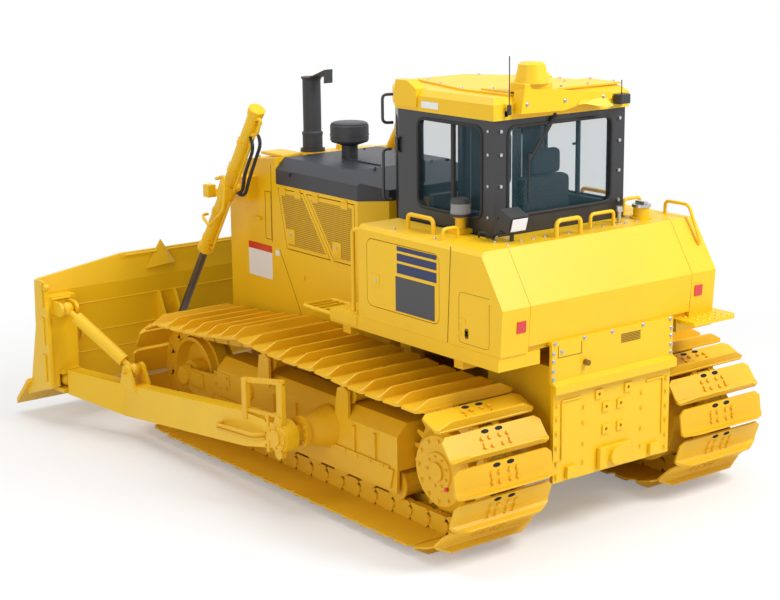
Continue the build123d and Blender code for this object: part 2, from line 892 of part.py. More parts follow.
# Hull: transmission case, side rails, deck towers and cross members
case_rear_x = ahead(hull_rear_reach)
case_front_x = ahead(case_front_reach)
case_half_width = 518
case_crown = 1290
rear_plate = 30
rear_plate_top = 1170
tower_half = 70
tower_reach = 1450
tower_spread = 405
tower_width = 130
cross_member_reach = 3000
cross_member_bottom = 820
deck_beam_bottom = 1290
deck_beam_top = 1366
pad_width = 72
pad_height = 12
pad_hole_radius = 13.5
pad_hole_depth = 60
pad_centres = [(-150, 1048), (150, 1048), (-75, 940), (75, 940), (-75, 768), (75, 768)]
with BuildPart() as main_frame:
    with BuildSketch(outward(case_half_width)):
        with BuildLine():
            Polyline(
                (case_rear_x, case_bottom),
                (case_front_x, case_bottom),
                (case_front_x, case_crown),
                (case_rear_x + 60, case_crown),
                (case_rear_x + 60, case_top),
                (case_rear_x, case_top),
                close=True,
            )
        make_face()
    extrude(amount=2 * case_half_width)
    with Locations((case_rear_x + rear_plate / 2, 0, (case_bottom + rear_plate_top) / 2)):
        Box(rear_plate, 2 * hull_half_width, rear_plate_top - case_bottom)
    for side in (-1, 1):
        with Locations(((case_front_x + ahead(rail_front_reach)) / 2 - 10, side * rail_half_spread, (562 + rail_top) / 2)):
            Box(ahead(rail_front_reach) - case_front_x + 20, rail_thickness, rail_top - 562)
        with Locations((ahead(tower_reach), side * tower_spread, (rail_top - 40 + deck_beam_bottom) / 2)):
            Box(2 * tower_half, tower_width, deck_beam_bottom - rail_top + 40)
    with Locations(((ahead(cross_member_reach) + ahead(3800)) / 2, 0, (cross_member_bottom + mask_bottom) / 2)):
        Box(800, 2 * hull_half_width, mask_bottom - cross_member_bottom)
    for reach in (1100, 2300):
        with Locations((ahead(reach), 0, 700)):
            Box(120, 2 * rail_half_spread, 160)
    for reach in (engine_rear_reach + 150, engine_front_reach - 150):
        with Locations((ahead(reach), 0, engine_bottom - 60)):
            Box(140, 2 * rail_half_spread, 120)
    with BuildSketch(crosswise(case_rear_x)):
        with Locations(*pad_centres):
            Rectangle(pad_width, pad_width)
            Circle(pad_hole_radius, mode=Mode.SUBTRACT)
    extrude(amount=-pad_height)
    with BuildSketch(crosswise(case_rear_x - pad_height)):
        with Locations(*pad_centres):
            Circle(pad_hole_radius)
    extrude(amount=pad_hole_depth, mode=Mode.SUBTRACT)
keep(main_frame, "main_frame")

# Belly guards hang under the rails, in front of and behind the equaliser bar
bar_reach = 2720
bar_length_x = 150
bar_bottom = 454
bar_top = 562
guard_top = 560
guard_gap = 12
guard_half_width = rail_half_spread + rail_thickness / 2
with BuildPart() as belly_guard:
    for start, end in (
        (case_front_x, ahead(bar_reach) - bar_length_x / 2 - guard_gap),
        (ahead(bar_reach) + bar_length_x / 2 + guard_gap, ahead(rail_front_reach)),
    ):
        with Locations(((start + end) / 2, 0, (case_bottom + guard_top) / 2 + 1)):
            Box(end - start, 2 * guard_half_width, guard_top - case_bottom + 2)
        with Locations(((start + end) / 2, 0, (case_bottom + guard_top) / 2 + guard_plate)):
            Box(end - start - 2 * guard_plate, 2 * guard_half_width - 2 * rail_thickness,
                guard_top - case_bottom + 2, mode=Mode.SUBTRACT)
keep(belly_guard, "belly_guard")

frame_inner_y = track_y - beam_width / 2
pivot_reach = 640
pivot_z = 700
pivot_radius = 96
with BuildPart() as pivot_shafts:
    with Locations((ahead(bar_reach), 0, (bar_bottom + bar_top) / 2)):
        Box(bar_length_x, 2 * (frame_inner_y - cheek_plate), bar_top - bar_bottom)
    for side in (-1, 1):
        stub_outer = frame_inner_y if side > 0 else -guard_half_width
        with BuildSketch(outward(stub_outer)):
            with Locations((ahead(pivot_reach), pivot_z)):
                Circle(pivot_radius)
        extrude(amount=frame_inner_y - guard_half_width)
keep(pivot_shafts, "pivot_shafts")

with BuildPart() as engine_block:
    with Locations((
        (ahead(engine_rear_reach) + ahead(engine_front_reach)) / 2,
        0,
        (engine_bottom + engine_top) / 2,
    )):
        Box(engine_front_reach - engine_rear_reach, 2 * engine_half_width, engine_top - engine_bottom)
keep(engine_block, "engine_block")

# Radiator mask: a hollow housing with a sloped top and an open front
mask_rear_x = ahead(mask_rear_reach)
mask_front_x = ahead(mask_front_reach)
mask_crest_reach = 3560
mask_brow_z = 2330
grille_half_width = 470
grille_bottom = 1010
grille_top = 2230
with BuildPart() as radiator_mask:
    with BuildSketch(outward(hood_half_width)):
        with BuildLine():
            Polyline(
                (mask_rear_x, mask_bottom),
                (mask_front_x, mask_bottom),
                (mask_front_x, mask_brow_z),
                (ahead(mask_crest_reach), mask_top),
                (mask_rear_x, hood_crest_z),
                close=True,
            )
        make_face()
    extrude(amount=2 * hood_half_width)
    with BuildSketch(outward(hood_half_width - mask_wall)):
        with BuildLine():
            Polyline(
                (mask_rear_x, mask_bottom + mask_wall),
                (mask_front_x - mask_wall, mask_bottom + mask_wall),
                (mask_front_x - mask_wall, mask_brow_z - mask_wall),
                (ahead(mask_crest_reach), mask_top - mask_wall),
                (mask_rear_x, hood_crest_z - mask_wall),
                close=True,
            )
        make_face()
    extrude(amount=2 * (hood_half_width - mask_wall), mode=Mode.SUBTRACT)
    with Locations((mask_front_x - mask_wall / 2, 0, (grille_bottom + grille_top) / 2)):
        Box(2 * mask_wall, 2 * grille_half_width, grille_top - grille_bottom, mode=Mode.SUBTRACT)
    with Locations((ahead(exhaust_reach), exhaust_y, (mask_top - 20 + hood_crest_z) / 2)):
        Cylinder(exhaust_foot_radius + 26, hood_crest_z - mask_top + 20)
    for side in (-1, 1):
        with BuildSketch(outward(side * (hood_half_width + lift_bracket_outer) / 2 + (lift_bracket_outer - hood_half_width) / 2)):
            with Locations((lift_pivot[0], lift_pivot[2])):
                Rectangle(2 * lift_bracket_half, 2 * lift_bracket_half)
        extrude(amount=lift_bracket_outer - hood_half_width)
    with BuildSketch(outward(lift_bracket_outer)):
        with Locations((lift_pivot[0], lift_pivot[2])):
            Circle(lift_trunnion_radius + lift_trunnion_gap)
    extrude(amount=lift_bracket_outer - lift_trunnion_inner + 2, mode=Mode.SUBTRACT)
    with BuildSketch(outward(-lift_trunnion_inner + 2)):
        with Locations((lift_pivot[0], lift_pivot[2])):
            Circle(lift_trunnion_radius + lift_trunnion_gap)
    extrude(amount=lift_bracket_outer - lift_trunnion_inner + 2, mode=Mode.SUBTRACT)
keep(radiator_mask, "radiator_mask")

grille_fit = 0.3
slat_pitch = (grille_top - grille_bottom - 2 * grille_frame) / grille_slats
with BuildPart() as radiator_grille:
    with Locations((mask_front_x - mask_wall / 2 + 4, 0, (grille_bottom + grille_top) / 2)):
        Box(mask_wall, 2 * (grille_half_width - grille_fit), grille_top - grille_bottom - 2 * grille_fit)
        Box(2 * mask_wall, 2 * (grille_half_width - grille_frame), grille_top - grille_bottom - 2 * grille_frame,
            mode=Mode.SUBTRACT)
    for count in range(grille_slats):
        slat_z = grille_bottom + grille_frame + (count + 0.5) * slat_pitch
        with Locations(Location((mask_front_x - mask_wall / 2 + 4, 0, slat_z), (0, -28, 0))):
            Box(mask_wall * 0.9, 2 * (grille_half_width - grille_frame) + 4, 16)
    with Locations((mask_front_x - mask_wall / 2 + 4, 0, (grille_bottom + grille_top) / 2)):
        Box(mask_wall, 40, grille_top - grille_bottom - grille_frame)
keep(radiator_grille, "radiator_grille")

with BuildPart() as radiator_core:
    with Locations((ahead(3520), 0, (mask_bottom + mask_wall + 2200) / 2)):
        Box(160, 2 * (hood_half_width - mask_wall), 2200 - mask_bottom - mask_wall)
keep(radiator_core, "radiator_core")

# Engine bay: walls that narrow to the windscreen, with two door openings on each side
hood_plan = [
    (mask_rear_x, hood_half_width),
    (ahead(hood_taper_reach), hood_half_width),
    (ahead(hood_rear_reach), hood_taper_half_width),
    (ahead(hood_rear_reach), -hood_taper_half_width),
    (ahead(hood_taper_reach), -hood_half_width),
    (mask_rear_x, -hood_half_width),
]
door_head_z = hood_joint_z - 30
front_door_outline = [
    (ahead(door_front_foot_reach), door_bottom_z),
    (ahead(door_front_head_reach), door_head_z),
    (ahead(door_seam_head_reach) + 22, door_head_z),
    (ahead(door_seam_foot_reach) + 22, door_bottom_z),
]
rear_door_outline = [
    (ahead(door_seam_foot_reach) - 22, door_bottom_z),
    (ahead(door_seam_head_reach) - 22, door_head_z),
    (ahead(door_rear_reach) + 40, door_head_z),
    (ahead(door_rear_reach) + 40, door_bottom_z),
]
with BuildPart() as engine_bay:
    with BuildSketch(level(mask_bottom)):
        Polygon(*hood_plan, align=None)
        offset(amount=-hood_sheet, mode=Mode.SUBTRACT)
    extrude(amount=hood_joint_z - mask_bottom)
    with Locations((mask_rear_x - hood_sheet / 2, 0, (mask_bottom + hood_joint_z) / 2)):
        Box(hood_sheet, 2 * (hood_half_width - hood_sheet), hood_joint_z - mask_bottom, mode=Mode.SUBTRACT)
    with BuildSketch(outward(hood_half_width)):
        for outline in (front_door_outline, rear_door_outline):
            Polygon(*outline, align=None)
    extrude(amount=2 * hood_half_width, mode=Mode.SUBTRACT)
keep(engine_bay, "engine_bay")

hinge_rod_radius = 8
hinge_rod_y = hood_half_width + hinge_rod_radius + 0.5
hinge_strap = 5
hinge_lift = 10
for door_name, outline in (("engine_door_front", front_door_outline), ("engine_door_rear", rear_door_outline)):
    with BuildPart() as engine_door:
        with BuildSketch(outward(hood_half_width)):
            Polygon(*outline, align=None)
            offset(amount=-door_gap, mode=Mode.REPLACE)
        extrude(amount=door_sheet)
        hinge_xs = [x for x, z in outline if z == door_head_z]
        for share in (0.2, 0.8):
            hinge_x = min(hinge_xs) + share * (max(hinge_xs) - min(hinge_xs))
            with BuildSketch(crosswise(hinge_x - 45)):
                with Locations((hinge_rod_y, door_head_z + hinge_lift)):
                    Circle(hinge_rod_radius)
                with Locations((hood_half_width + 0.5 + hinge_strap / 2, door_head_z + hinge_lift - 30)):
                    Rectangle(hinge_strap, 60)
                with Locations((hood_half_width - 4, door_head_z - door_gap - 35)):
                    Rectangle(18, 30)
            extrude(amount=90)
    keep_pair(engine_door, door_name)

with BuildPart() as hood_top:
    with BuildSketch(level(hood_joint_z)):
        Polygon(*hood_plan, align=None)
    extrude(amount=hood_crest_z - hood_joint_z)
    with BuildSketch(outward(hood_half_width + 10)):
        with BuildLine():
            Polyline(
                (ahead(hood_slope_top_reach), hood_crest_z + 5),
                (ahead(hood_slope_bottom_reach) - 120, hood_joint_z + 60),
                (ahead(hood_rear_reach) - 200, hood_joint_z + 60),
                (ahead(hood_rear_reach) - 200, hood_crest_z + 5),
                close=True,
            )
        make_face()
    extrude(amount=2 * hood_half_width + 20, mode=Mode.SUBTRACT)
    for side in (-1, 1):
        with BuildSketch(crosswise(ahead(hood_rear_reach) - 50)):
            with BuildLine():
                Polyline(
                    (side * (hood_half_width + 10), hood_crest_z - hood_top_chamfer),
                    (side * hood_half_width, hood_crest_z - hood_top_chamfer),
                    (side * (hood_half_width - hood_top_chamfer), hood_crest_z),
                    (side * (hood_half_width - hood_top_chamfer), hood_crest_z + 10),
                    (side * (hood_half_width + 10), hood_crest_z + 10),
                    close=True,
                )
            make_face()
        extrude(amount=mask_rear_x - ahead(hood_rear_reach) + 60, mode=Mode.SUBTRACT)
    with BuildSketch(level(hood_joint_z)):
        Polygon(*hood_plan, align=None)
        offset(amount=-2 * hood_sheet, mode=Mode.REPLACE)
    extrude(amount=100, mode=Mode.SUBTRACT)
keep(hood_top, "hood_top")

# Exhaust stack and air pre-cleaner stand on the hood
with BuildPart() as exhaust_stack:
    with BuildSketch(Plane(origin=(ahead(exhaust_reach), exhaust_y, hood_crest_z), x_dir=(1, 0, 0), z_dir=(0, -1, 0))):
        with BuildLine():
            Polyline(
                (0, 0),
                (exhaust_foot_radius + 20, 0),
                (exhaust_foot_radius + 20, 25),
                (exhaust_foot_radius, 25),
                (exhaust_foot_radius, exhaust_step_z - hood_crest_z),
                (exhaust_radius, exhaust_step_z - hood_crest_z + 15),
                (exhaust_radius, exhaust_tip_z - hood_crest_z),
                (exhaust_radius - 8, exhaust_tip_z - hood_crest_z),
                (exhaust_radius - 8, exhaust_step_z - hood_crest_z),
                (0, exhaust_step_z - hood_crest_z),
                close=True,
            )
        make_face()
    revolve(axis=Axis((ahead(exhaust_reach), exhaust_y, 0), (0, 0, 1)))
keep(exhaust_stack, "exhaust_stack")

with BuildPart() as air_precleaner:
    with BuildSketch(Plane(origin=(ahead(intake_reach), intake_y, hood_crest_z), x_dir=(1, 0, 0), z_dir=(0, -1, 0))):
        with BuildLine():
            Polyline(
                (0, 0),
                (intake_neck_radius, 0),
                (intake_neck_radius, intake_drum_bottom - hood_crest_z - 30),
                (intake_radius - 10, intake_drum_bottom - hood_crest_z),
                (intake_radius, intake_drum_bottom - hood_crest_z + 15),
                (intake_radius, intake_drum_top - hood_crest_z - 15),
                (intake_radius - 15, intake_drum_top - hood_crest_z),
                (0, intake_drum_top - hood_crest_z),
                close=True,
            )
        make_face()
    revolve(axis=Axis((ahead(intake_reach), intake_y, 0), (0, 0, 1)))
keep(air_precleaner, "air_precleaner")

# Side boxes with hinged flaps, and the rear tank between them
box_seat = fender_top
box_outline = [
    (ahead(box_front_reach), box_seat),
    (ahead(box_front_reach), box_top),
    (ahead(box_slope_reach), box_top),
    (ahead(box_kink_reach), box_kink_z),
    (ahead(box_rear_reach), box_seat),
]
rear_inner_y = tank_half_width + tank_gap
flap_depth = flap_thickness
flap_gap = 6
with BuildPart() as side_box:
    with BuildSketch(outward(box_half_width)):
        Polygon(*box_outline, align=None)
    extrude(amount=box_half_width - rear_inner_y)
    with Locations(((ahead(tank_front_reach) + ahead(box_front_reach)) / 2, (box_inner + rear_inner_y) / 2, (box_seat + box_top) / 2)):
        Box(box_front_reach - tank_front_reach, rear_inner_y - box_inner, box_top - box_seat)
    chamfer(edges().filter_by(Axis.X).group_by(Axis.Z)[-1].sort_by(Axis.Y)[-1], box_edge_radius * 0.7)
    with Locations(((ahead(flap_rear_reach) + ahead(flap_front_reach)) / 2, (box_inner + box_half_width) / 2, (flap_bottom + flap_top) / 2)):
        Box(flap_front_reach - flap_rear_reach - 60, box_half_width - box_inner - 2 * box_skin,
            flap_top - flap_bottom - 60, mode=Mode.SUBTRACT)
    with BuildSketch(outward(box_half_width)):
        with Locations(((ahead(flap_rear_reach) + ahead(flap_front_reach)) / 2, (flap_bottom + flap_top) / 2)):
            Rectangle(flap_front_reach - flap_rear_reach - 60, flap_top - flap_bottom - 60)
    extrude(amount=box_skin + 5, mode=Mode.SUBTRACT)
    with BuildSketch(outward(box_half_width)):
        with Locations(((ahead(flap_rear_reach) + ahead(flap_front_reach)) / 2, (flap_bottom + flap_top) / 2)):
            RectangleRounded(flap_front_reach - flap_rear_reach + 2 * flap_gap,
                             flap_top - flap_bottom + 2 * flap_gap, 60 + flap_gap)
    extrude(amount=flap_depth, mode=Mode.SUBTRACT)
keep_pair(side_box, "side_box")

with BuildPart() as side_flap:
    with BuildSketch(outward(box_half_width)):
        with Locations(((ahead(flap_rear_reach) + ahead(flap_front_reach)) / 2, (flap_bottom + flap_top) / 2)):
            RectangleRounded(flap_front_reach - flap_rear_reach, flap_top - flap_bottom, 60)
    extrude(amount=flap_depth - 0.5)
keep_pair(side_flap, "side_flap")

tank_lift = 43
with BuildPart() as rear_tank:
    with BuildSketch(outward(tank_half_width)):
        Polygon(
            (ahead(tank_front_reach), box_seat),
            (ahead(tank_front_reach), box_top),
            (ahead(box_slope_reach), box_top),
            (ahead(box_kink_reach), box_kink_z),
            (ahead(box_rear_reach), box_seat + tank_lift),
            (ahead(box_rear_reach) + 30, box_seat + tank_lift),
            (ahead(box_rear_reach) + 30, box_seat),
            align=None,
        )
    extrude(amount=2 * tank_half_width)
keep(rear_tank, "rear_tank")

# Fenders: lipped plates over the tracks, joined by two deck beams
with BuildPart() as fenders:
    fender_middle_y = (fender_inner + fender_outer) / 2
    for side in (-1, 1):
        with Locations(((ahead(fender_rear_reach) + ahead(fender_front_reach)) / 2, side * fender_middle_y, fender_top - fender_thickness / 2)):
            Box(fender_front_reach - fender_rear_reach, fender_outer - fender_inner, fender_thickness)
    for side in (-1, 1):
        with Locations(((ahead(fender_rear_reach) + ahead(fender_front_reach)) / 2, side * fender_middle_y, fender_top - fender_thickness / 2 - 25)):
            Box(fender_front_reach - fender_rear_reach - 50, fender_outer - fender_inner - 50, fender_thickness,
                mode=Mode.SUBTRACT)
    for reach in (90, tower_reach):
        with Locations((ahead(reach), 0, (deck_beam_bottom + deck_beam_top) / 2)):
            Box(100, 2 * (fender_outer - 40), deck_beam_top - deck_beam_bottom)
        for side in (-1, 1):
            with Locations((ahead(reach), side * 800, deck_beam_top + 40)):
                Box(100, 200, 100)
    with BuildSketch(level(fender_top - step_plate)):
        Polygon(
            (ahead(step_front_reach) - 190, -fender_inner),
            (ahead(step_rear_reach) + 60, -fender_inner),
            (ahead(step_rear_reach) + 60, -step_outer + 40),
            (ahead(step_rear_reach) + 100, -step_outer),
            (ahead(step_front_reach), -step_outer),
            (ahead(step_front_reach), -fender_outer + 20),
            (ahead(step_front_reach) - 190, -fender_outer + 20),
            align=None,
        )
    extrude(amount=step_plate)
    for side in (-1, 1):
        with BuildSketch(level(fender_top - 25)):
            Polygon(
                (ahead(cab_side_front_reach) + 25, side * (fender_inner + 20)),
                (ahead(fender_front_reach), side * (fender_inner + 20)),
                (ahead(fender_front_reach), side * 445),
                (ahead(cab_side_front_reach) + 25, side * (cab_half_width + 2)),
                align=None,
            )
        extrude(amount=25)
keep(fenders, "fenders")

# Rear apron under the tank
apron_half_width = 622
apron_plate = 25
apron_bottom = 1052
apron_crease_z = 1180
with BuildPart() as rear_apron:
    with BuildSketch(outward(apron_half_width)):
        Polygon(
            (ahead(-378), box_seat + tank_lift),
            (ahead(-378), box_seat + tank_lift - apron_plate),
            (ahead(-405), box_seat + tank_lift - apron_plate),
            (ahead(-405), apron_crease_z + 20),
            (ahead(-455), apron_crease_z),
            (ahead(-455), apron_bottom + 80),
            (ahead(-455) - apron_plate, apron_bottom + 80),
            (ahead(-455) - apron_plate, apron_crease_z + 12),
            (ahead(-405) - apron_plate, apron_crease_z + 40),
            (ahead(-405) - apron_plate, box_seat + tank_lift),
            align=None,
        )
    extrude(amount=2 * apron_half_width)
keep(rear_apron, "rear_apron")

# Cab plan: a hexagon whose front corners hold the doors
cab_rear_x = ahead(cab_rear_reach)
cab_corner = Vector(ahead(cab_side_front_reach), cab_half_width)
cab_nose = Vector(ahead(cab_front_reach), cab_front_half_width)
corner_run = (cab_nose - cab_corner).normalized()
corner_length = (cab_nose - cab_corner).length
corner_inward = Vector(corner_run.Y, -corner_run.X)
post_length = 66
door_start = 30
door_end = corner_length - post_length - door_clearance


def on_corner(distance, depth):
    """A plan point this far along the left front corner, and this deep behind its outer face."""
    spot = cab_corner + corner_run * distance + corner_inward * depth
    return (spot.X, spot.Y)


def line_meet(y):
    """Where the inner face of the corner crosses this Y."""
    start = cab_corner + corner_inward * cab_wall
    share = (start.Y - y) / -corner_run.Y
    return (start.X + corner_run.X * share, y)


inner_y = cab_half_width - cab_wall
inner_corner = line_meet(inner_y)
inner_front_x = ahead(cab_front_reach) - cab_wall
inner_start = cab_corner + corner_inward * cab_wall
nose_share = (inner_front_x - inner_start.X) / corner_run.X
inner_nose = (inner_front_x, inner_start.Y + corner_run.Y * nose_share)
cab_plan = [
    (cab_rear_x, cab_half_width),
    (cab_corner.X, cab_corner.Y),
    (cab_nose.X, cab_nose.Y),
    (cab_nose.X, -cab_nose.Y),
    (cab_corner.X, -cab_corner.Y),
    (cab_rear_x, -cab_half_width),
]
wall_height = cab_eave_z - cab_floor_z

deck_plate = 40
stringer_y = 405
with BuildPart() as cab_floor:
    with BuildSketch(level(cab_floor_z - deck_plate)):
        Polygon(*cab_plan, align=None)
    extrude(amount=deck_plate)
    for side in (-1, 1):
        with Locations(((cab_rear_x + ahead(1620)) / 2, side * stringer_y, (deck_beam_top + cab_floor_z - deck_plate) / 2)):
            Box(ahead(1580) - cab_rear_x, 100, cab_floor_z - deck_plate - deck_beam_top)
keep(cab_floor, "cab_floor")

knuckle_heights = [1780, 2760]
knuckle_length = 90
knuckle_radius = 14
knuckle_pin = 8
knuckle_fit = 0.05
knuckle_end_gap = 0.5
hinge_stand_off = 16
hinge_lug = 14
hinge_y = cab_half_width + hinge_stand_off
with BuildPart() as cab_side:
    with BuildSketch(level(cab_floor_z)):
        Polygon((cab_rear_x, cab_half_width), (cab_corner.X, cab_corner.Y), inner_corner, (cab_rear_x, inner_y), align=None)
    extrude(amount=wall_height)
    with BuildSketch(outward(cab_half_width + 5)):
        with Locations(((ahead(side_window_rear_reach) + ahead(side_window_front_reach)) / 2, (side_window_bottom + side_window_top) / 2)):
            RectangleRounded(side_window_front_reach - side_window_rear_reach, side_window_top - side_window_bottom, window_radius)
    extrude(amount=cab_wall + 10, mode=Mode.SUBTRACT)
    for knuckle_z in knuckle_heights:
        with Locations((cab_corner.X, hinge_y, knuckle_z)):
            Cylinder(knuckle_pin, knuckle_length + 2 * hinge_lug)
        for side in (-1, 1):
            lug_middle = knuckle_z + side * (knuckle_length / 2 + knuckle_end_gap + hinge_lug / 2)
            with Locations((cab_corner.X, hinge_y, lug_middle)):
                Cylinder(knuckle_radius, hinge_lug)
            with Locations((cab_corner.X - knuckle_radius, cab_half_width + 4, lug_middle)):
                Box(2 * knuckle_radius, 2 * hinge_stand_off - 8, hinge_lug)
keep_pair(cab_side, "cab_side")

with BuildPart() as cab_rear:
    with Locations((cab_rear_x + cab_wall / 2, 0, cab_floor_z + wall_height / 2)):
        Box(cab_wall, 2 * inner_y, wall_height)
    with BuildSketch(crosswise(cab_rear_x - 5)):
        with Locations((0, (rear_window_bottom + rear_window_top) / 2)):
            RectangleRounded(2 * rear_window_half_width, rear_window_top - rear_window_bottom, window_radius)
    extrude(amount=cab_wall + 10, mode=Mode.SUBTRACT)
keep(cab_rear, "cab_rear")

post_outer = on_corner(corner_length - post_length, 0)
post_inner = on_corner(corner_length - post_length, cab_wall)
windscreen_half_width = 290
windscreen_bottom = 2080
windscreen_top = 2980
with BuildPart() as cab_front:
    with BuildSketch(level(cab_floor_z)):
        Polygon(
            post_outer,
            (cab_nose.X, cab_nose.Y),
            (cab_nose.X, -cab_nose.Y),
            (post_outer[0], -post_outer[1]),
            (post_inner[0], -post_inner[1]),
            (inner_nose[0], -inner_nose[1]),
            inner_nose,
            post_inner,
            align=None,
        )
    extrude(amount=wall_height)
    with BuildSketch(crosswise(inner_front_x - 5)):
        with Locations((0, (windscreen_bottom + windscreen_top) / 2)):
            RectangleRounded(2 * windscreen_half_width, windscreen_top - windscreen_bottom, 50)
    extrude(amount=cab_wall + 10, mode=Mode.SUBTRACT)
keep(cab_front, "cab_front")

door_plane = Plane(
    origin=(cab_corner.X, cab_corner.Y, 0),
    x_dir=(corner_run.X, corner_run.Y, 0),
    z_dir=(corner_inward.X, corner_inward.Y, 0),
)
door_foot_z = cab_floor_z + 10
door_crown_z = cab_eave_z - 10
door_middle = (door_start + door_end) / 2
glass_fit = 0.3
with BuildPart() as cab_door:
    with BuildSketch(door_plane) as leaf:
        with BuildLine():
            Polyline(
                (door_start, door_foot_z),
                (door_end, door_foot_z),
                (door_end, door_crown_z),
                (door_start, door_crown_z),
                close=True,
            )
        make_face()
        with Locations((door_middle, (door_foot_z + door_crown_z) / 2)):
            RectangleRounded(door_end - door_start - 2 * door_frame, door_crown_z - door_foot_z - 2 * door_frame, 55,
                             mode=Mode.SUBTRACT)
    extrude(amount=cab_wall)
    for knuckle_z in knuckle_heights:
        with Locations((cab_corner.X, hinge_y, knuckle_z)):
            Cylinder(knuckle_radius, knuckle_length)
        with BuildSketch(level(knuckle_z - knuckle_length / 2)):
            Polygon(
                on_corner(-4, -16),
                on_corner(52, -16),
                on_corner(52, 4),
                on_corner(38, 4),
                on_corner(38, -8),
                on_corner(-4, -8),
                align=None,
            )
        extrude(amount=knuckle_length)
        with Locations((cab_corner.X, hinge_y, knuckle_z)):
            Cylinder(knuckle_pin + knuckle_fit, 2 * knuckle_length, mode=Mode.SUBTRACT)
keep_pair(cab_door, "cab_door")

with BuildPart() as door_glass:
    with BuildSketch(door_plane.offset(cab_wall / 2)):
        with Locations((door_middle, (door_foot_z + door_crown_z) / 2)):
            RectangleRounded(door_end - door_start - 2 * door_frame - 2 * glass_fit,
                             door_crown_z - door_foot_z - 2 * door_frame - 2 * glass_fit, 55 - glass_fit)
    extrude(amount=glass_thickness)
keep_pair(door_glass, "door_glass")

with BuildPart() as cab_glass:
    for side in (-1, 1):
        with BuildSketch(outward(side * (cab_half_width - cab_wall / 2))):
            with Locations(((ahead(side_window_rear_reach) + ahead(side_window_front_reach)) / 2, (side_window_bottom + side_window_top) / 2)):
                RectangleRounded(side_window_front_reach - side_window_rear_reach - 2 * glass_fit,
                                 side_window_top - side_window_bottom - 2 * glass_fit, window_radius - glass_fit)
        extrude(amount=glass_thickness)
    with BuildSketch(crosswise(cab_rear_x + cab_wall / 2)):
        with Locations((0, (rear_window_bottom + rear_window_top) / 2)):
            RectangleRounded(2 * (rear_window_half_width - glass_fit), rear_window_top - rear_window_bottom - 2 * glass_fit,
                             window_radius - glass_fit)
    extrude(amount=glass_thickness)
    with BuildSketch(crosswise(inner_front_x + cab_wall / 2)):
        with Locations((0, (windscreen_bottom + windscreen_top) / 2)):
            RectangleRounded(2 * (windscreen_half_width - glass_fit), windscreen_top - windscreen_bottom - 2 * glass_fit,
                             50 - glass_fit)
    extrude(amount=glass_thickness)
keep(cab_glass, "cab_glass")

with BuildPart() as cab_roof:
    with BuildSketch(level(cab_eave_z)):
        Polygon(*cab_plan, align=None)
        offset(amount=roof_overhang, kind=Kind.INTERSECTION, mode=Mode.REPLACE)
    extrude(amount=cab_roof_z - cab_eave_z)
    chamfer(faces().sort_by(Axis.Z)[-1].edges(), 45)
    with BuildSketch(level(cab_eave_z)):
        Polygon(*cab_plan, align=None)
        offset(amount=-cab_wall, kind=Kind.INTERSECTION, mode=Mode.REPLACE)
    extrude(amount=cab_roof_z - cab_eave_z - roof_wall, mode=Mode.SUBTRACT)
keep(cab_roof, "cab_roof")

# Inside the cab
seat_x = ahead(620)
with BuildPart() as operator_seat:
    with Locations((seat_x, 0, (cab_floor_z + 1880) / 2)):
        Box(360, 420, 1880 - cab_floor_z)
    with Locations((seat_x + 20, 0, 1940)):
        Box(500, 500, 120)
    with Locations((seat_x - 270, 0, 2250)):
        Box(110, 480, 740)
keep(operator_seat, "operator_seat")

with BuildPart() as console:
    with Locations((ahead(1440), 0, (cab_floor_z + 2120) / 2)):
        Box(240, 460, 2120 - cab_floor_z)
    with Locations((ahead(1380), 130, 2210)):
        Box(60, 240, 190)
    for side in (-1, 1):
        with Locations((ahead(800), side * 400, (cab_floor_z + 2060) / 2)):
            Box(560, 160, 2060 - cab_floor_z)
        with Locations((ahead(980), side * 400, 2130)):
            Cylinder(22, 150)
keep(console, "console")

# Roof equipment: lamp housings, dome and its mast box
lamp_depth = 150
with BuildPart() as lamps:
    for side in (-1, 1):
        with Locations((ahead(1165), side * 615, cab_roof_z + 30)):
            Box(120, 150, 60)
        with Locations((cab_rear_x - 60, side * 560, 3120)):
            Box(80, 150, 90)
        with Locations((ahead(300), side * 1000, box_top + 45)):
            Box(70, 90, 90)
    with Locations((ahead(380), 900, box_top + 45)):
        Cylinder(38, 90)
    with Locations((ahead(380), 900, box_top + 90 + 55)):
        Cylinder(68, 110)
keep(lamps, "lamps")

with BuildPart() as roof_dome:
    with Locations((ahead(200), 0, cab_roof_z + 70)):
        Box(220, 260, 140)
    with Locations((ahead(200), 0, cab_roof_z + 140 + 50)):
        Cylinder(75, 100)
    fillet(faces().sort_by(Axis.Z)[-1].edges(), 30)
keep(roof_dome, "roof_dome")

# Tubular rails: tank hoops, box-front grab rails and the hoop steps
rail_foot = 2
with BuildPart() as handrails:
    for side in (-1, 1):
        add(tube([
            (ahead(box_front_reach), side * 1040, 2130),
            (ahead(box_front_reach) + 130, side * 1040, 2130),
            (ahead(box_front_reach) + 130, side * 1040, fender_top),
        ], hoop_tube, 20))
        add(tube([
            (ahead(560), side * 900, box_top),
            (ahead(560), side * 900, box_top + 110),
            (ahead(860), side * 900, box_top + 110),
            (ahead(860), side * 900, box_top),
        ], hoop_tube, 40))
        add(tube([
            (ahead(fender_front_reach), side * 760, fender_top - 60),
            (ahead(fender_front_reach) + 420, side * 760, fender_top - 60),
            (ahead(fender_front_reach) + 420, side * 1060, fender_top - 60),
            (ahead(fender_front_reach), side * 1060, fender_top - 60),
        ], hoop_tube, 60))
    add(tube([
        (ahead(-120), 300, box_top),
        (ahead(-120), 300, box_top + 120),
        (ahead(-120), 60, box_top + 120),
        (ahead(-120), 60, box_top),
    ], hoop_tube, 40))
keep(handrails, "handrails")
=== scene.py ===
import math

import bmesh
import bpy
from mathutils import Matrix, Vector


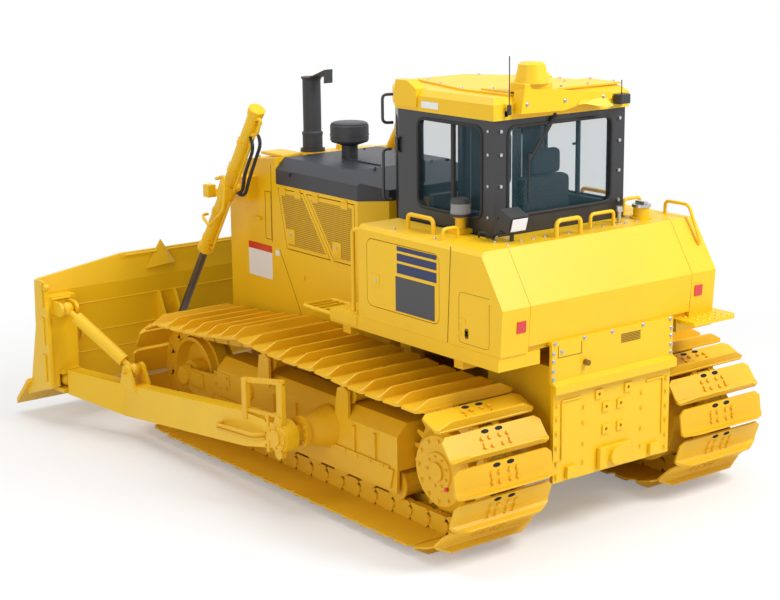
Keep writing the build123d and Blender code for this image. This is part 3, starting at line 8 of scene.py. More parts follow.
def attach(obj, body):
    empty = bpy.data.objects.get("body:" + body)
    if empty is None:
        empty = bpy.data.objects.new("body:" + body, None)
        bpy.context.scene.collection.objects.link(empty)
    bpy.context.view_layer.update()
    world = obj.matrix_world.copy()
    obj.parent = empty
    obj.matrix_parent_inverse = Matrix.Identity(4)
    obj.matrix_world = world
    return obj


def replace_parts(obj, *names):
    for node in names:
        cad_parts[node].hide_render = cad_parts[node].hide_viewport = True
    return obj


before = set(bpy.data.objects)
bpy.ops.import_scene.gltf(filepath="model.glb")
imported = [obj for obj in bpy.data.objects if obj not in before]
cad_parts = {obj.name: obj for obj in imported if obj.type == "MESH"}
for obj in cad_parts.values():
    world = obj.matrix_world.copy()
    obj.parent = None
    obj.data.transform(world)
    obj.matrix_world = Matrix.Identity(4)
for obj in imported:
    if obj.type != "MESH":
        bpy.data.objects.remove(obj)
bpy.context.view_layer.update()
SPROCKET_X = -2.2604


def spot(ahead, y, z):
    """A point in metres, from millimetres ahead of the sprocket axle, to the left and up."""
    return Vector((SPROCKET_X + ahead / 1000, y / 1000, z / 1000))


# %% [markdown]
# The camera stands where the photographer stood: behind the left rear corner, a little above
# the cab's sill, with a long lens so that the machine's lines stay nearly parallel. A camera can
# be aimed by eye, but here its place was solved from lengths that are known on the machine, such
# as the gauge of its tracks, so that every piece can be checked against the picture.
# %% Camera
CAMERA_PLACE = (-11.2615, 8.6594, 4.5759)
CAMERA_TURN = (76.8235, 0.5921, -127.6931)
LENS_LENGTH = 78.51
lens = bpy.data.cameras.new("camera")
lens.sensor_width = 36
lens.lens = LENS_LENGTH
lens.clip_end = 200
camera = bpy.data.objects.new("camera", lens)
camera.location = CAMERA_PLACE
camera.rotation_euler = [math.radians(turn) for turn in CAMERA_TURN]
bpy.context.scene.collection.objects.link(camera)
bpy.context.scene.camera = camera
print("camera", CAMERA_PLACE, "lens", LENS_LENGTH, "mm")

# %% [markdown]
# Shader maths reads best as a sum. Nodes can be placed and linked one by one, but then a short
# formula takes ten lines. This small class holds one socket of a material, and each operator
# adds the Math node that does it, so `0.4 + wear * 0.2` builds the nodes by itself.
# %% A socket that does sums
class Flow:
    """One socket of a node tree, which sums and products can be written with."""

    def __init__(self, tree, socket):
        self.tree = tree
        self.socket = socket

    def maths(self, operation, first, second):
        """Add one Math node for two values or flows."""
        return add_node(self.tree, "ShaderNodeMath", {"operation": operation}, {0: first, 1: second})

    def __add__(self, other):
        return self.maths("ADD", self, other)

    def __radd__(self, other):
        return self.maths("ADD", other, self)

    def __mul__(self, other):
        return self.maths("MULTIPLY", self, other)

    def __rmul__(self, other):
        return self.maths("MULTIPLY", other, self)


# %% One method for every other node
def add_node(tree, kind, settings, inputs, output=0):
    """Add a node: its settings first, then values or flows for its sockets."""
    node = tree.nodes.new(kind)
    for name, value in settings.items():
        setattr(node, name, value)
    for name, value in inputs.items():
        if isinstance(value, Flow):
            tree.links.new(value.socket, node.inputs[name])
        else:
            node.inputs[name].default_value = value
    return Flow(tree, node.outputs[output])


# %% [markdown]
# Fresh machine paint is one colour, but never quite even: it varies a little over a panel, has
# fine orange peel, and gathers dust in the low places. Each finish could be its own node tree.
# They differ only in colour, gloss and grain, so one function makes all the paints, and the
# plastics and bare metals, from a colour and a few numbers.
# %% Finishes
PANEL_WAVES = 1.7
GLOSS_SPREAD = 0.14
DARK_SHARE = 2.2
COAT_ROUGHNESS = 0.18
PEEL_DEPTH = 0.004
DUST_TOP = 1.5
DUST_FULL = 0.15
DUST_COLOUR = (0.50, 0.38, 0.16, 1)


def finish(name, colour, roughness, shade=0.04, peel=0.02, grain=60.0, metallic=0.0, coat=0.0,
           dust=0.0):
    """A solid finish with slow colour change, fine bump and, low down, some dust."""
    material = bpy.data.materials.new(name)
    material.use_nodes = True
    tree = material.node_tree
    shader = tree.nodes["Principled BSDF"]
    place = add_node(tree, "ShaderNodeTexCoord", {}, {}, output=3)
    slow = add_node(tree, "ShaderNodeTexNoise", {}, {"Vector": place, "Scale": PANEL_WAVES, "Detail": 4.0})
    fine = add_node(tree, "ShaderNodeTexNoise", {}, {"Vector": place, "Scale": grain, "Detail": 3.0})
    dark = [channel * (1 - DARK_SHARE * shade) for channel in colour]
    light = [min(1, channel * (1 + shade)) for channel in colour]
    tint = add_node(tree, "ShaderNodeMix", {"data_type": "RGBA"}, {
        "Factor": slow, 6: (*dark, 1), 7: (*light, 1)}, output=2)
    if dust:
        height = add_node(tree, "ShaderNodeSeparateXYZ", {}, {0: place}, output=2)
        low = add_node(tree, "ShaderNodeMapRange", {}, {
            0: height + slow * 0.5, 1: DUST_TOP, 2: DUST_FULL, 3: 0.0, 4: dust})
        tint = add_node(tree, "ShaderNodeMix", {"data_type": "RGBA"}, {
            "Factor": low * slow, 6: tint, 7: DUST_COLOUR}, output=2)
    tree.links.new(tint.socket, shader.inputs["Base Color"])
    rough = slow * GLOSS_SPREAD + (roughness - GLOSS_SPREAD / 2)
    tree.links.new(rough.socket, shader.inputs["Roughness"])
    shader.inputs["Metallic"].default_value = metallic
    shader.inputs["Coat Weight"].default_value = coat
    shader.inputs["Coat Roughness"].default_value = COAT_ROUGHNESS
    bump = add_node(tree, "ShaderNodeBump", {}, {
        "Strength": peel, "Distance": PEEL_DEPTH, "Height": fine})
    tree.links.new(bump.socket, shader.inputs["Normal"])
    return material


# %% Paints, plastics and metals
yellow = finish("yellow_paint", (0.86, 0.52, 0.002), 0.46, coat=0.06, dust=0.04)
# The undercarriage yellow is the body's yellow made darker: painted shade on the low parts, with real dust
# on top
low_yellow_dust_and_shade = finish("undercarriage_dust_and_shade", (0.80, 0.45, 0.003), 0.50, shade=0.06, peel=0.05, dust=0.08)
black = finish("black_paint", (0.018, 0.019, 0.022), 0.38, coat=0.2)
hood_dark = finish("hood_dark_paint", (0.030, 0.033, 0.042), 0.45)
rubber = finish("black_rubber", (0.020, 0.020, 0.021), 0.75, peel=0.1, grain=220)
dark_rod = finish("dark_rod", (0.14, 0.13, 0.13), 0.30, metallic=0.8, shade=0.08)
cloth = finish("seat_cloth", (0.022, 0.023, 0.026), 0.9, peel=0.5, grain=900)
plastic = finish("dark_plastic", (0.030, 0.031, 0.034), 0.6, peel=0.12, grain=400)
lamp_glass = finish("lamp_glass", (0.75, 0.76, 0.78), 0.12, coat=0.8)
blue = finish("stripe_blue", (0.012, 0.022, 0.090), 0.4)
white = finish("blank_label_white", (0.80, 0.80, 0.79), 0.45)
red = finish("reflector_red", (0.62, 0.02, 0.02), 0.25, coat=0.6)
plate_grey = finish("blank_plate_grey", (0.050, 0.052, 0.058), 0.4)
shadow = finish("seam_shadow", (0.22, 0.11, 0.004), 0.8)
# Near black for the inside of holes: painted shade where only shade is seen
slot_hole_shade = finish("slot_hole_shade", (0.010, 0.008, 0.006), 0.9)
bright = finish("bright_bolts", (0.55, 0.55, 0.54), 0.32, metallic=0.9)
# The perforated panel's yellow is darker than the paint: painted shade from the holes and the dark behind
# them
perforated_yellow_shaded = finish("perforated_panel", (0.66, 0.38, 0.004), 0.6)
print("materials so far:", len(bpy.data.materials))

# %% [markdown]
# The engine doors are cut with rows of small holes. As geometry they would be thousands of
# edges that nobody can count from where the camera stands. A Voronoi texture with no randomness
# is a square grid, and the distance from its points paints a round dark spot at each of them,
# as painted shade where the holes would show the dark behind the door.
# %% Perforated panels
HOLES_A_METRE = 60
HOLE_REACH = 0.31
HOLE_EDGE = 0.04
# Painted shade: the dark colour of each hole in the panel
HOLE_SHADE_COLOUR = (0.10, 0.055, 0.003, 1)


def perforate(material):
    """Paint a grid of small dark spots over a panel's paint, as painted shade in its holes."""
    tree = material.node_tree
    shader = tree.nodes["Principled BSDF"]
    paint = Flow(tree, shader.inputs["Base Color"].links[0].from_socket)
    place = add_node(tree, "ShaderNodeTexCoord", {}, {}, output=3)
    grid = add_node(tree, "ShaderNodeTexVoronoi", {}, {
        "Vector": place, "Scale": HOLES_A_METRE, "Randomness": 0.0})
    hole = add_node(tree, "ShaderNodeMapRange", {}, {
        0: grid, 1: HOLE_REACH + HOLE_EDGE, 2: HOLE_REACH - HOLE_EDGE, 3: 0.0, 4: 1.0})
    hole_shade_mix = add_node(tree, "ShaderNodeMix", {"data_type": "RGBA"}, {
        "Factor": hole, 6: paint, 7: HOLE_SHADE_COLOUR}, output=2)
    tree.links.new(hole_shade_mix.socket, shader.inputs["Base Color"])


perforate(perforated_yellow_shaded)
print("holes a metre:", HOLES_A_METRE)

# %% [markdown]
# The cab's panes are tinted, flat and thin. A refracting glass shader suits a thick lens, but on
# a thin pane it is slow and bends nothing that can be seen. A low Alpha on a dark, smooth surface
# lets the cab's inside show through instead, and keeps the sheen of the studio.
# %% Glass
PANE_TINT = (0.03, 0.13, 0.18, 1)
PANE_ALPHA = 0.12
BEACON_TINT = (0.85, 0.88, 0.90, 1)
BEACON_ALPHA = 0.30
glass = bpy.data.materials.new("tinted_glass")
glass.use_nodes = True
pane = glass.node_tree.nodes["Principled BSDF"]
pane.inputs["Base Color"].default_value = PANE_TINT
pane.inputs["Roughness"].default_value = 0.03
pane.inputs["Alpha"].default_value = PANE_ALPHA
glass.surface_render_method = "BLENDED"
clear_glass = glass.copy()
clear_glass.name = "clear_glass"
clear_pane = clear_glass.node_tree.nodes["Principled BSDF"]
clear_pane.inputs["Base Color"].default_value = BEACON_TINT
clear_pane.inputs["Alpha"].default_value = BEACON_ALPHA
print("alpha of the cab's panes:", PANE_ALPHA)

# %% [markdown]
# Every CAD solid that stays gets its finish through its own material slot. Most of the machine
# is yellow, so the table names only what isn't, and the parts near the ground get a darker,
# dustier yellow: real dust, and painted shade in its darker base. A new colour for one part is
# then one word in this table.
# %% Finishes on the CAD solids
LOW_NODES = ("track_rollers", "carrier_rollers", "idlers", "sprockets", "track_left", "track_right",
             "track_frame_left", "track_frame_right")
FINISH_OF = {
    "hood_top": hood_dark, "exhaust_stack": plastic, "air_precleaner": plastic,
    "cab_side_left": black, "cab_side_right": black, "cab_rear": black, "cab_front": black,
    "cab_floor": black, "cab_door_left": black, "cab_door_right": black,
    "cab_glass": glass, "door_glass_left": glass, "door_glass_right": glass,
    "operator_seat": cloth, "console": plastic, "engine_block": plastic, "radiator_core": plastic,
    "radiator_grille": black, "lift_cylinder_rod_left": dark_rod, "lift_cylinder_rod_right": dark_rod,
    "tilt_cylinder_rod": dark_rod, "lamps": plastic,
}
for name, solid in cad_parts.items():
    coat_of = low_yellow_dust_and_shade if name in LOW_NODES else FINISH_OF.get(name, yellow)
    solid.data.materials.clear()
    solid.data.materials.append(coat_of)
print("solids with a finish:", len(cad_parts))

# %% [markdown]
# Most pieces below are built from a few shapes: blocks with broken edges, rods, bolts, flat
# plates cut to an outline, and bent tubes. Each could be added with the editor's own primitives
# and then moved, but one bmesh that takes many shapes gives one tidy object in the end. Their
# places are millimetres ahead of the sprocket axle, to the left, and up, so they read like the
# measurements that they came from.
# %% Blocks and rods
BEVEL_STEPS = 2
def block(shape, low, high, edge=3):
    """A box between two corners, with small rounded edges."""
    low_corner = spot(*low)
    high_corner = spot(*high)
    made = bmesh.ops.create_cube(shape, size=1)
    bmesh.ops.scale(shape, vec=high_corner - low_corner, verts=made["verts"])
    bmesh.ops.translate(shape, vec=(low_corner + high_corner) / 2, verts=made["verts"])
    if edge:
        edges = {side for corner in made["verts"] for side in corner.link_edges}
        bmesh.ops.bevel(shape, geom=list(edges), offset=edge / 1000, segments=BEVEL_STEPS, profile=0.5,
                        affect="EDGES", material=-1)


def rod(shape, start, end, radius, tip=None, sides=20):
    """A round rod between two points, or a cone where the tip has its own radius."""
    first = spot(*start)
    last = spot(*end)
    turn = (last - first).to_track_quat("Z", "Y").to_matrix().to_4x4()
    bmesh.ops.create_cone(
        shape, cap_ends=True, segments=sides, radius1=radius / 1000,
        radius2=(radius if tip is None else tip) / 1000, depth=(last - first).length,
        matrix=Matrix.Translation((first + last) / 2) @ turn)


# %% Bolts
WASHER_HEIGHT = 0.22
WASHER_REACH = 1.45
HEAD_TAPER = 0.94


def bolt(shape, seat, push, radius=13):
    """A hexagon head on a washer. The push is the way that it points, as long as the head."""
    foot = Vector(seat)
    reach = Vector(push)
    rod(shape, foot, foot + reach * WASHER_HEIGHT, radius * WASHER_REACH, sides=16)
    rod(shape, foot, foot + reach, radius, tip=radius * HEAD_TAPER, sides=6)


def bolt_circle(shape, centre, radius, count, push, size, turn=0.0):
    """Bolts round a centre on an upright side face."""
    for step in range(count):
        angle = math.tau * (step + turn) / count
        seat = (centre[0] + radius * math.cos(angle), centre[1], centre[2] + radius * math.sin(angle))
        bolt(shape, seat, push, radius=size)


# %% Plates
def plate(shape, outline, push):
    """A flat plate: its outline as points in space, pushed out to its thickness."""
    face = shape.faces.new([shape.verts.new(spot(*corner)) for corner in outline])
    made = bmesh.ops.extrude_face_region(shape, geom=[face])
    moved = [part for part in made["geom"] if isinstance(part, bmesh.types.BMVert)]
    bmesh.ops.translate(shape, vec=Vector(push) / 1000, verts=moved)


def side_plate(shape, face, aheads, heights, thickness):
    """A thin rectangle on a side face, between two places ahead and two heights."""
    near, far = aheads
    low, high = heights
    plate(shape, [(near, face, low), (near, face, high), (far, face, high), (far, face, low)],
          (0, thickness, 0))


# %% Routes with round corners
ARC_STEPS = 5


def rounded(points, bend, steps=ARC_STEPS):
    """The same route with an arc at every inner corner."""
    route = [Vector(points[0])]
    for before, corner, after in zip(points, points[1:], points[2:]):
        corner = Vector(corner)
        inward = (Vector(before) - corner).normalized()
        onward = (Vector(after) - corner).normalized()
        for step in range(steps + 1):
            share = step / steps
            route.append(corner + inward * bend * (1 - share) ** 2 + onward * bend * share ** 2)
    return route + [Vector(points[-1])]


# %% From a mesh to a finished piece
SHARP_ANGLE = 40


def place_piece(item, coat, body):
    """Give a piece its finish and the body that it rides."""
    item.data.materials.append(coat)
    bpy.context.scene.collection.objects.link(item)
    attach(item, body)
    print(item.name, "rides", body)
    return item


def piece(name, build, coat, body="root", smooth=False):
    """Make one piece from a function that adds its shapes to an empty mesh."""
    shape = bmesh.new()
    build(shape)
    bmesh.ops.recalc_face_normals(shape, faces=shape.faces)
    mesh = bpy.data.meshes.new(name)
    shape.to_mesh(mesh)
    shape.free()
    if smooth:
        mesh.shade_smooth()
        mesh.set_sharp_from_angle(angle=math.radians(SHARP_ANGLE))
    return place_piece(bpy.data.objects.new(name, mesh), coat, body)


# %% Bent tubes
def pipes(name, routes, radius, coat, body="root", bend=45):
    """Bent tubes of one thickness, each along its own route."""
    curve = bpy.data.curves.new(name, "CURVE")
    curve.dimensions = "3D"
    curve.bevel_depth = radius / 1000
    curve.bevel_resolution = 4
    curve.use_fill_caps = True
    for points in routes:
        run = rounded(points, bend)
        line = curve.splines.new("POLY")
        line.points.add(len(run) - 1)
        for knot, place in zip(line.points, run):
            knot.co = (*spot(*place), 1)
        line.use_smooth = True
    return place_piece(bpy.data.objects.new(name, curve), coat, body)


# %% [markdown]
# The tracks. Forty-five links share the pitch line, which runs through the link pins: flat on
# the ground, round the idler, back over the two carrier rollers with a slight sag, and round
# the sprocket. An Array with a Curve modifier would bend every shoe along the line, but real
# shoes are stiff and meet at angles. So one shoe with its two links is modelled once, and set
# down forty-five times between neighbouring pins.
# %% The pitch line
LINK_COUNT = 45
LINK_PITCH = 216
PITCH_TO_TIP = 156
SPROCKET_RADIUS = 434.27
IDLER_AHEAD = 3480
IDLER_RADIUS = 405
CARRIERS = ((2236, 1091), (1150, 1054))
SAG = 22
SHOE_HALF = 455
TRACK_Y = 1125


def half_turn(centre, radius, first, steps=90):
    """Points on half a circle, from this angle on, the way that the track runs."""
    return [(centre[0] + radius * math.cos(first + math.pi * step / steps),
             centre[1] + radius * math.sin(first + math.pi * step / steps)) for step in range(steps)]


def sagging(start, end, steps=40):
    """Points on the top run between two supports."""
    return [(start[0] + (end[0] - start[0]) * step / steps,
             start[1] + (end[1] - start[1]) * step / steps
             - 4 * SAG * step / steps * (1 - step / steps)) for step in range(steps)]


def link_pins():
    """The pins' places along the pitch line, all the same distance apart."""
    idler_height = IDLER_RADIUS + PITCH_TO_TIP
    axle_height = SPROCKET_RADIUS + PITCH_TO_TIP
    supports = ((IDLER_AHEAD, idler_height + IDLER_RADIUS), *CARRIERS, (0, axle_height + SPROCKET_RADIUS))
    loop = [(0, PITCH_TO_TIP)]
    loop += half_turn((IDLER_AHEAD, idler_height), IDLER_RADIUS, -math.pi / 2)
    for start, end in zip(supports, supports[1:]):
        loop += sagging(start, end)
    loop += half_turn((0, axle_height), SPROCKET_RADIUS, math.pi / 2)
    loop.append(loop[0])
    lengths = [0]
    for start, end in zip(loop, loop[1:]):
        lengths.append(lengths[-1] + math.dist(start, end))
    pins = []
    for count in range(LINK_COUNT):
        goal = lengths[-1] * count / LINK_COUNT
        after = next(place for place, length in enumerate(lengths) if length > goal)
        share = (goal - lengths[after - 1]) / (lengths[after] - lengths[after - 1])
        start = Vector(loop[after - 1])
        pins.append(start + (Vector(loop[after]) - start) * share)
    return pins


# %% One shoe and its links
# Each point of a profile is a share of the pitch, then millimetres out from the pins
GROUSER_PROFILE = (
    (0.004, 70), (0.996, 70), (0.996, 84), (0.965, 87), (0.952, 153), (0.938, 156), (0.884, 156),
    (0.872, 148), (0.862, 112), (0.80, 88), (0.70, 84), (0.02, 84),
)
LINK_PROFILE = (
    (-0.16, 18), (-0.16, -22), (-0.06, -48), (0.12, -68), (0.88, -68), (1.0, -40), (1.04, -10), (1.0, 30),
    (0.9, 69), (0.06, 69),
)


LINK_FACES = (63, 121)
BOLT_ROWS = (48, 118)
BOLT_SHARES = (0.36, 0.66)
BUSH_RADIUS = 0.034
BUSH_LENGTH = 0.27


def shoe_mesh():
    """One shoe in its own space: X along the track in metres, Y across, and Z out of the loop."""
    shape = bmesh.new()
    half = SHOE_HALF / 1000
    ends = []
    for side in (-half, half):
        ends.append([shape.verts.new((share * LINK_PITCH / 1000, side, height / 1000))
                     for share, height in GROUSER_PROFILE])
    shape.faces.new(ends[0])
    shape.faces.new(reversed(ends[1]))
    for first, second in zip(range(len(ends[0])), [*range(1, len(ends[0])), 0]):
        shape.faces.new((ends[0][first], ends[1][first], ends[1][second], ends[0][second]))
    # The corners of the plate and the grouser are cut off
    for side in (-1, 1):
        for turned, reach in (((-0.8, side * 0.6, 0), (0.0, side * (half - 0.05), 0)),
                              ((0.0, side * 0.45, 0.89), (0.0, side * half, 0.092)),
                              ((0.8, side * 0.6, 0), (0.216, side * (half - 0.03), 0))):
            made = bmesh.ops.bisect_plane(
                shape, geom=shape.verts[:] + shape.edges[:] + shape.faces[:], dist=1e-6,
                plane_co=reach, plane_no=turned, clear_outer=True)
            rim = [part for part in made["geom_cut"] if isinstance(part, bmesh.types.BMEdge)]
            if rim:
                bmesh.ops.contextual_create(shape, geom=rim)
    for side in (-1, 1):
        for offset in BOLT_ROWS:
            for share in BOLT_SHARES:
                place = Vector((share * LINK_PITCH / 1000, side * offset / 1000, 0.090))
                bmesh.ops.create_cone(shape, cap_ends=True, segments=6, radius1=0.017, radius2=0.016,
                                      depth=0.020, matrix=Matrix.Translation(place))
        for face_y in LINK_FACES:
            outline = [shape.verts.new((share * LINK_PITCH / 1000, side * face_y / 1000, height / 1000))
                       for share, height in LINK_PROFILE]
            shape.faces.new(outline)
        # Known fault: new corners can fill places that the cuts left free, so the last ones in the
        # list aren't always the link's, and some faces run to a bolt instead
        rims = shape.verts[-2 * len(LINK_PROFILE):]
        inner = rims[:len(LINK_PROFILE)]
        outer = rims[len(LINK_PROFILE):]
        for first, second in zip(range(len(inner)), [*range(1, len(inner)), 0]):
            shape.faces.new((inner[first], inner[second], outer[second], outer[first]))
    across = Matrix.Rotation(math.radians(90), 4, "X")
    bmesh.ops.create_cone(shape, cap_ends=True, segments=16, radius1=BUSH_RADIUS, radius2=BUSH_RADIUS,
                          depth=BUSH_LENGTH, matrix=across)
    bmesh.ops.recalc_face_normals(shape, faces=shape.faces)
    mesh = bpy.data.meshes.new("shoe")
    shape.to_mesh(mesh)
    shape.free()
    return mesh


# %% The mud slots of a shoe
SLOT_PLACE = (0.030, 0.064, 0.0846)
SLOT_HALF = 0.016
SLOT_STRETCH = 2.2


def slot_mesh():
    """The two oval mud slots of a shoe, as thin dark sheets just proud of its plate: painted shade in the
    holes.
    """
    shape = bmesh.new()
    along, out, up = SLOT_PLACE
    for side in (-1, 1):
        made = bmesh.ops.create_circle(shape, cap_ends=True, segments=20, radius=SLOT_HALF,
                                       matrix=Matrix.Translation((along, side * out, up)))
        bmesh.ops.scale(shape, vec=(1, SLOT_STRETCH, 1), verts=made["verts"],
                        space=Matrix.Translation((-along, -side * out, 0)))
    mesh = bpy.data.meshes.new("shoe_slots")
    shape.to_mesh(mesh)
    shape.free()
    return mesh


# %% Laying the links
def lay_links(name, link, side, coat):
    """Set the same mesh down at every link of one track."""
    pins = link_pins()
    shape = bmesh.new()
    for pin, following in zip(pins, pins[1:] + pins[:1]):
        along = (following - pin).normalized()
        turn = Matrix(((along.x, 0, along.y), (0, 1, 0), (along.y, 0, -along.x))).to_4x4()
        known = len(shape.verts)
        shape.from_mesh(link)
        shape.verts.ensure_lookup_table()
        bmesh.ops.transform(shape, verts=shape.verts[known:],
                            matrix=Matrix.Translation(spot(pin.x, side * TRACK_Y, pin.y)) @ turn)
    bmesh.ops.recalc_face_normals(shape, faces=shape.faces)
    mesh = bpy.data.meshes.new(name)
    shape.to_mesh(mesh)
    shape.free()
    return place_piece(bpy.data.objects.new(name, mesh), coat, "root")


shoe = shoe_mesh()
shoe_slots = slot_mesh()
for side, name in ((1, "left"), (-1, "right")):
    links = lay_links(f"track_{name}_shoes", shoe, side, low_yellow_dust_and_shade)
    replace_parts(links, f"track_{name}")
    # The slots' dark sheets are painted shade in the holes of the shoes
    lay_links(f"track_{name}_slots", shoe_slots, side, slot_hole_shade)
print("links on each track:", LINK_COUNT, "faces a link:", len(shoe.polygons))

# %% [markdown]
# The side boxes carry a large rounded door, a small hatch at the rear, dark blue stripes over a
# blank dark plate, and red reflectors. Stripes and grooves could be painted with a mask in the
# material, but as thin plates and rods they keep a sharp edge, and what sits on the door swings
# with it.
# %% Grooves on a panel
BOX_Y = 1086


def seam(shape, corners, width=5, bend=55):
    """A dark groove on the outside of a box, as a thin band along a rounded outline."""
    loop = rounded([*corners, corners[0], corners[1]], bend)[ARC_STEPS + 1:]
    for start, end in zip(loop, loop[1:]):
        if (end - start).length > 1:
            rod(shape, start, end, width / 2, sides=6)


# %% Side boxes
STRIPE_ENDS = (760, 296)
STRIPE_HEIGHTS = ((2060, 2094), (1984, 2040), (1890, 1964))
STICKER = 1.5


def box_side(side):
    """Both sides have the same seams, lock, hatch and stripes."""
    face = side * (BOX_Y + 0.5)

    def seams(shape):
        """The hatch's groove, the joint between two panels and the long keyhole."""
        seam(shape, [(45, face, 1874), (-285, face, 1874), (-285, face, 1505), (45, face, 1505)],
             width=3, bend=40)
        rod(shape, (135, face, 2185), (172, face, 1475), 3, sides=6)
        rod(shape, (-40, face - side * 4, 1598), (-40, face + side * 2, 1598), 20)
        rod(shape, (-40, face - side * 4, 1560), (-40, face + side * 2, 1560), 20)
        block(shape, (-60, face - side * 4, 1560), (-20, face + side * 2, 1598), edge=0)

    def stripes(shape):
        """Three dark blue bars, each wider than the one above it."""
        for heights in STRIPE_HEIGHTS:
            side_plate(shape, face, STRIPE_ENDS, heights, side * STICKER)

    def blank(shape):
        """The dark plate under the stripes, with nothing on it."""
        side_plate(shape, face, (778, 318), (1600, 1864), side * STICKER)

    def reflectors(shape):
        """A red reflector on the box's rear face."""
        plate(shape, [(-416, side * 862, 1712), (-416, side * 945, 1712), (-410, side * 945, 1628),
                      (-410, side * 862, 1628)], (-9, 0, 0))

    def locks(shape):
        """The hatch's latch plate and its key."""
        block(shape, (-28, face - side * 2, 1640), (40, face + side * 4, 1684))
        rod(shape, (33, face, 1576), (33, face + side * 6, 1576), 14)

    def flap_lock(shape):
        """The raised plate round the door's lock."""
        block(shape, (974, face - side * 2, 1740), (1080, face + side * 3, 1842))

    def lock_pins(shape):
        """The key's barrel in that lock."""
        rod(shape, (1022, face, 1790), (1022, face + side * 7, 1790), 13)

    tag = "left" if side > 0 else "right"
    piece(f"box_seams_{tag}", seams, shadow)
    flap = f"side_flap_{tag}"
    piece(f"box_stripes_{tag}", stripes, blue, flap)
    piece(f"box_blank_plate_{tag}", blank, plate_grey, flap)
    piece(f"flap_lock_{tag}", flap_lock, yellow, flap)
    piece(f"box_reflectors_{tag}", reflectors, red)
    piece(f"box_locks_{tag}", locks, yellow)
    piece(f"flap_lock_pin_{tag}", lock_pins, bright, flap)


for side in (1, -1):
    box_side(side)

# %% [markdown]
# On the tank: a beacon under clear glass, a work lamp with its hoses, a row of bolt heads, the
# filler, tubular hoops and, on the right, a rail that follows the slope. Turned parts like the
# beacon could be spun from a profile; a few stacked cones with their own tips say the same with
# fewer numbers. Hoops and hoses are curves with a bevel, since only their route matters.
# %% Beacon
TOP_Z = 2190


def beacon_post(shape):
    """The bracket and the post under the beacon."""
    block(shape, (395, 650, TOP_Z), (520, 790, TOP_Z + 34))
    rod(shape, (459, 723, TOP_Z), (459, 723, TOP_Z + 120), 40)
    rod(shape, (459, 723, TOP_Z + 120), (459, 723, TOP_Z + 132), 62)


def beacon_glass(shape):
    """The beacon's clear drum."""
    rod(shape, (459, 723, TOP_Z + 132), (459, 723, TOP_Z + 232), 76, tip=72, sides=32)


def beacon_core(shape):
    """The beacon's foot, its bulb and its cap."""
    rod(shape, (459, 723, TOP_Z + 128), (459, 723, TOP_Z + 150), 80, sides=32)
    rod(shape, (459, 723, TOP_Z + 150), (459, 723, TOP_Z + 205), 30)
    rod(shape, (459, 723, TOP_Z + 226), (459, 723, TOP_Z + 262), 78, tip=58, sides=32)


# %% Work lamp
def work_lamp(shape):
    """The lamp's wedge-shaped housing on its stalk."""
    plate(shape, [(35, 560, TOP_Z + 100), (-70, 560, TOP_Z + 70), (-105, 560, TOP_Z + 190),
                  (10, 560, TOP_Z + 240)], (0, 170, 0))
    rod(shape, (-20, 645, TOP_Z), (-20, 645, TOP_Z + 110), 16)


def work_lamp_glass(shape):
    """The pane of the lamp, which looks to the rear."""
    plate(shape, [(-84, 575, TOP_Z + 86), (-110, 575, TOP_Z + 176), (-110, 715, TOP_Z + 176),
                  (-84, 715, TOP_Z + 86)], (-6, 0, -2))


# %% Bolts, filler and breather
def tank_bolts(shape):
    """Bolt heads along the tank's rear edge and round its covers."""
    for lateral in range(-5, 6):
        bolt(shape, (-60, lateral * 118, TOP_Z), (0, 0, 14), radius=11)
    for place in ((150, 640), (20, 770), (60, 620), (-110, 760), (420, 1000), (900, 1000)):
        bolt(shape, (*place, TOP_Z), (0, 0, 14), radius=10)


def filler(shape):
    """The neck of the fuel filler and its flange."""
    rod(shape, (19, -717, TOP_Z), (19, -717, TOP_Z + 90), 62, sides=28)
    rod(shape, (19, -717, TOP_Z), (19, -717, TOP_Z + 16), 84, sides=28)


def filler_cap(shape):
    """The filler's cap and its grip."""
    rod(shape, (19, -717, TOP_Z + 90), (19, -717, TOP_Z + 112), 74, sides=28)
    block(shape, (-30, -735, TOP_Z + 112), (68, -699, TOP_Z + 134))


def breather(shape):
    """A breather with its wider cap."""
    rod(shape, (-18, -441, TOP_Z), (-18, -441, TOP_Z + 90), 17)
    rod(shape, (-18, -441, TOP_Z + 90), (-18, -441, TOP_Z + 130), 30, tip=26)


# %% Setting them on the tank
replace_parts(piece("beacon_post", beacon_post, yellow), "lamps")
piece("beacon_glass", beacon_glass, clear_glass, smooth=True)
piece("beacon_core", beacon_core, plastic, smooth=True)
piece("work_lamp_left", work_lamp, plastic)
piece("work_lamp_glass", work_lamp_glass, lamp_glass)
piece("tank_bolts", tank_bolts, bright)
piece("filler_neck", filler, yellow, smooth=True)
piece("filler_cap", filler_cap, bright)
piece("breather", breather, bright)
pipes("tank_top_hoses", [
    [(-20, 640, TOP_Z + 60), (40, 700, TOP_Z + 60), (120, 720, TOP_Z + 20), (190, 700, TOP_Z + 8)],
    [(-20, 650, TOP_Z + 70), (60, 640, TOP_Z + 84), (150, 660, TOP_Z + 14), (200, 690, TOP_Z + 8)],
    [(60, 740, TOP_Z + 10), (110, 780, TOP_Z + 60), (200, 770, TOP_Z + 50), (230, 740, TOP_Z + 8)],
], 9, rubber, bend=30)

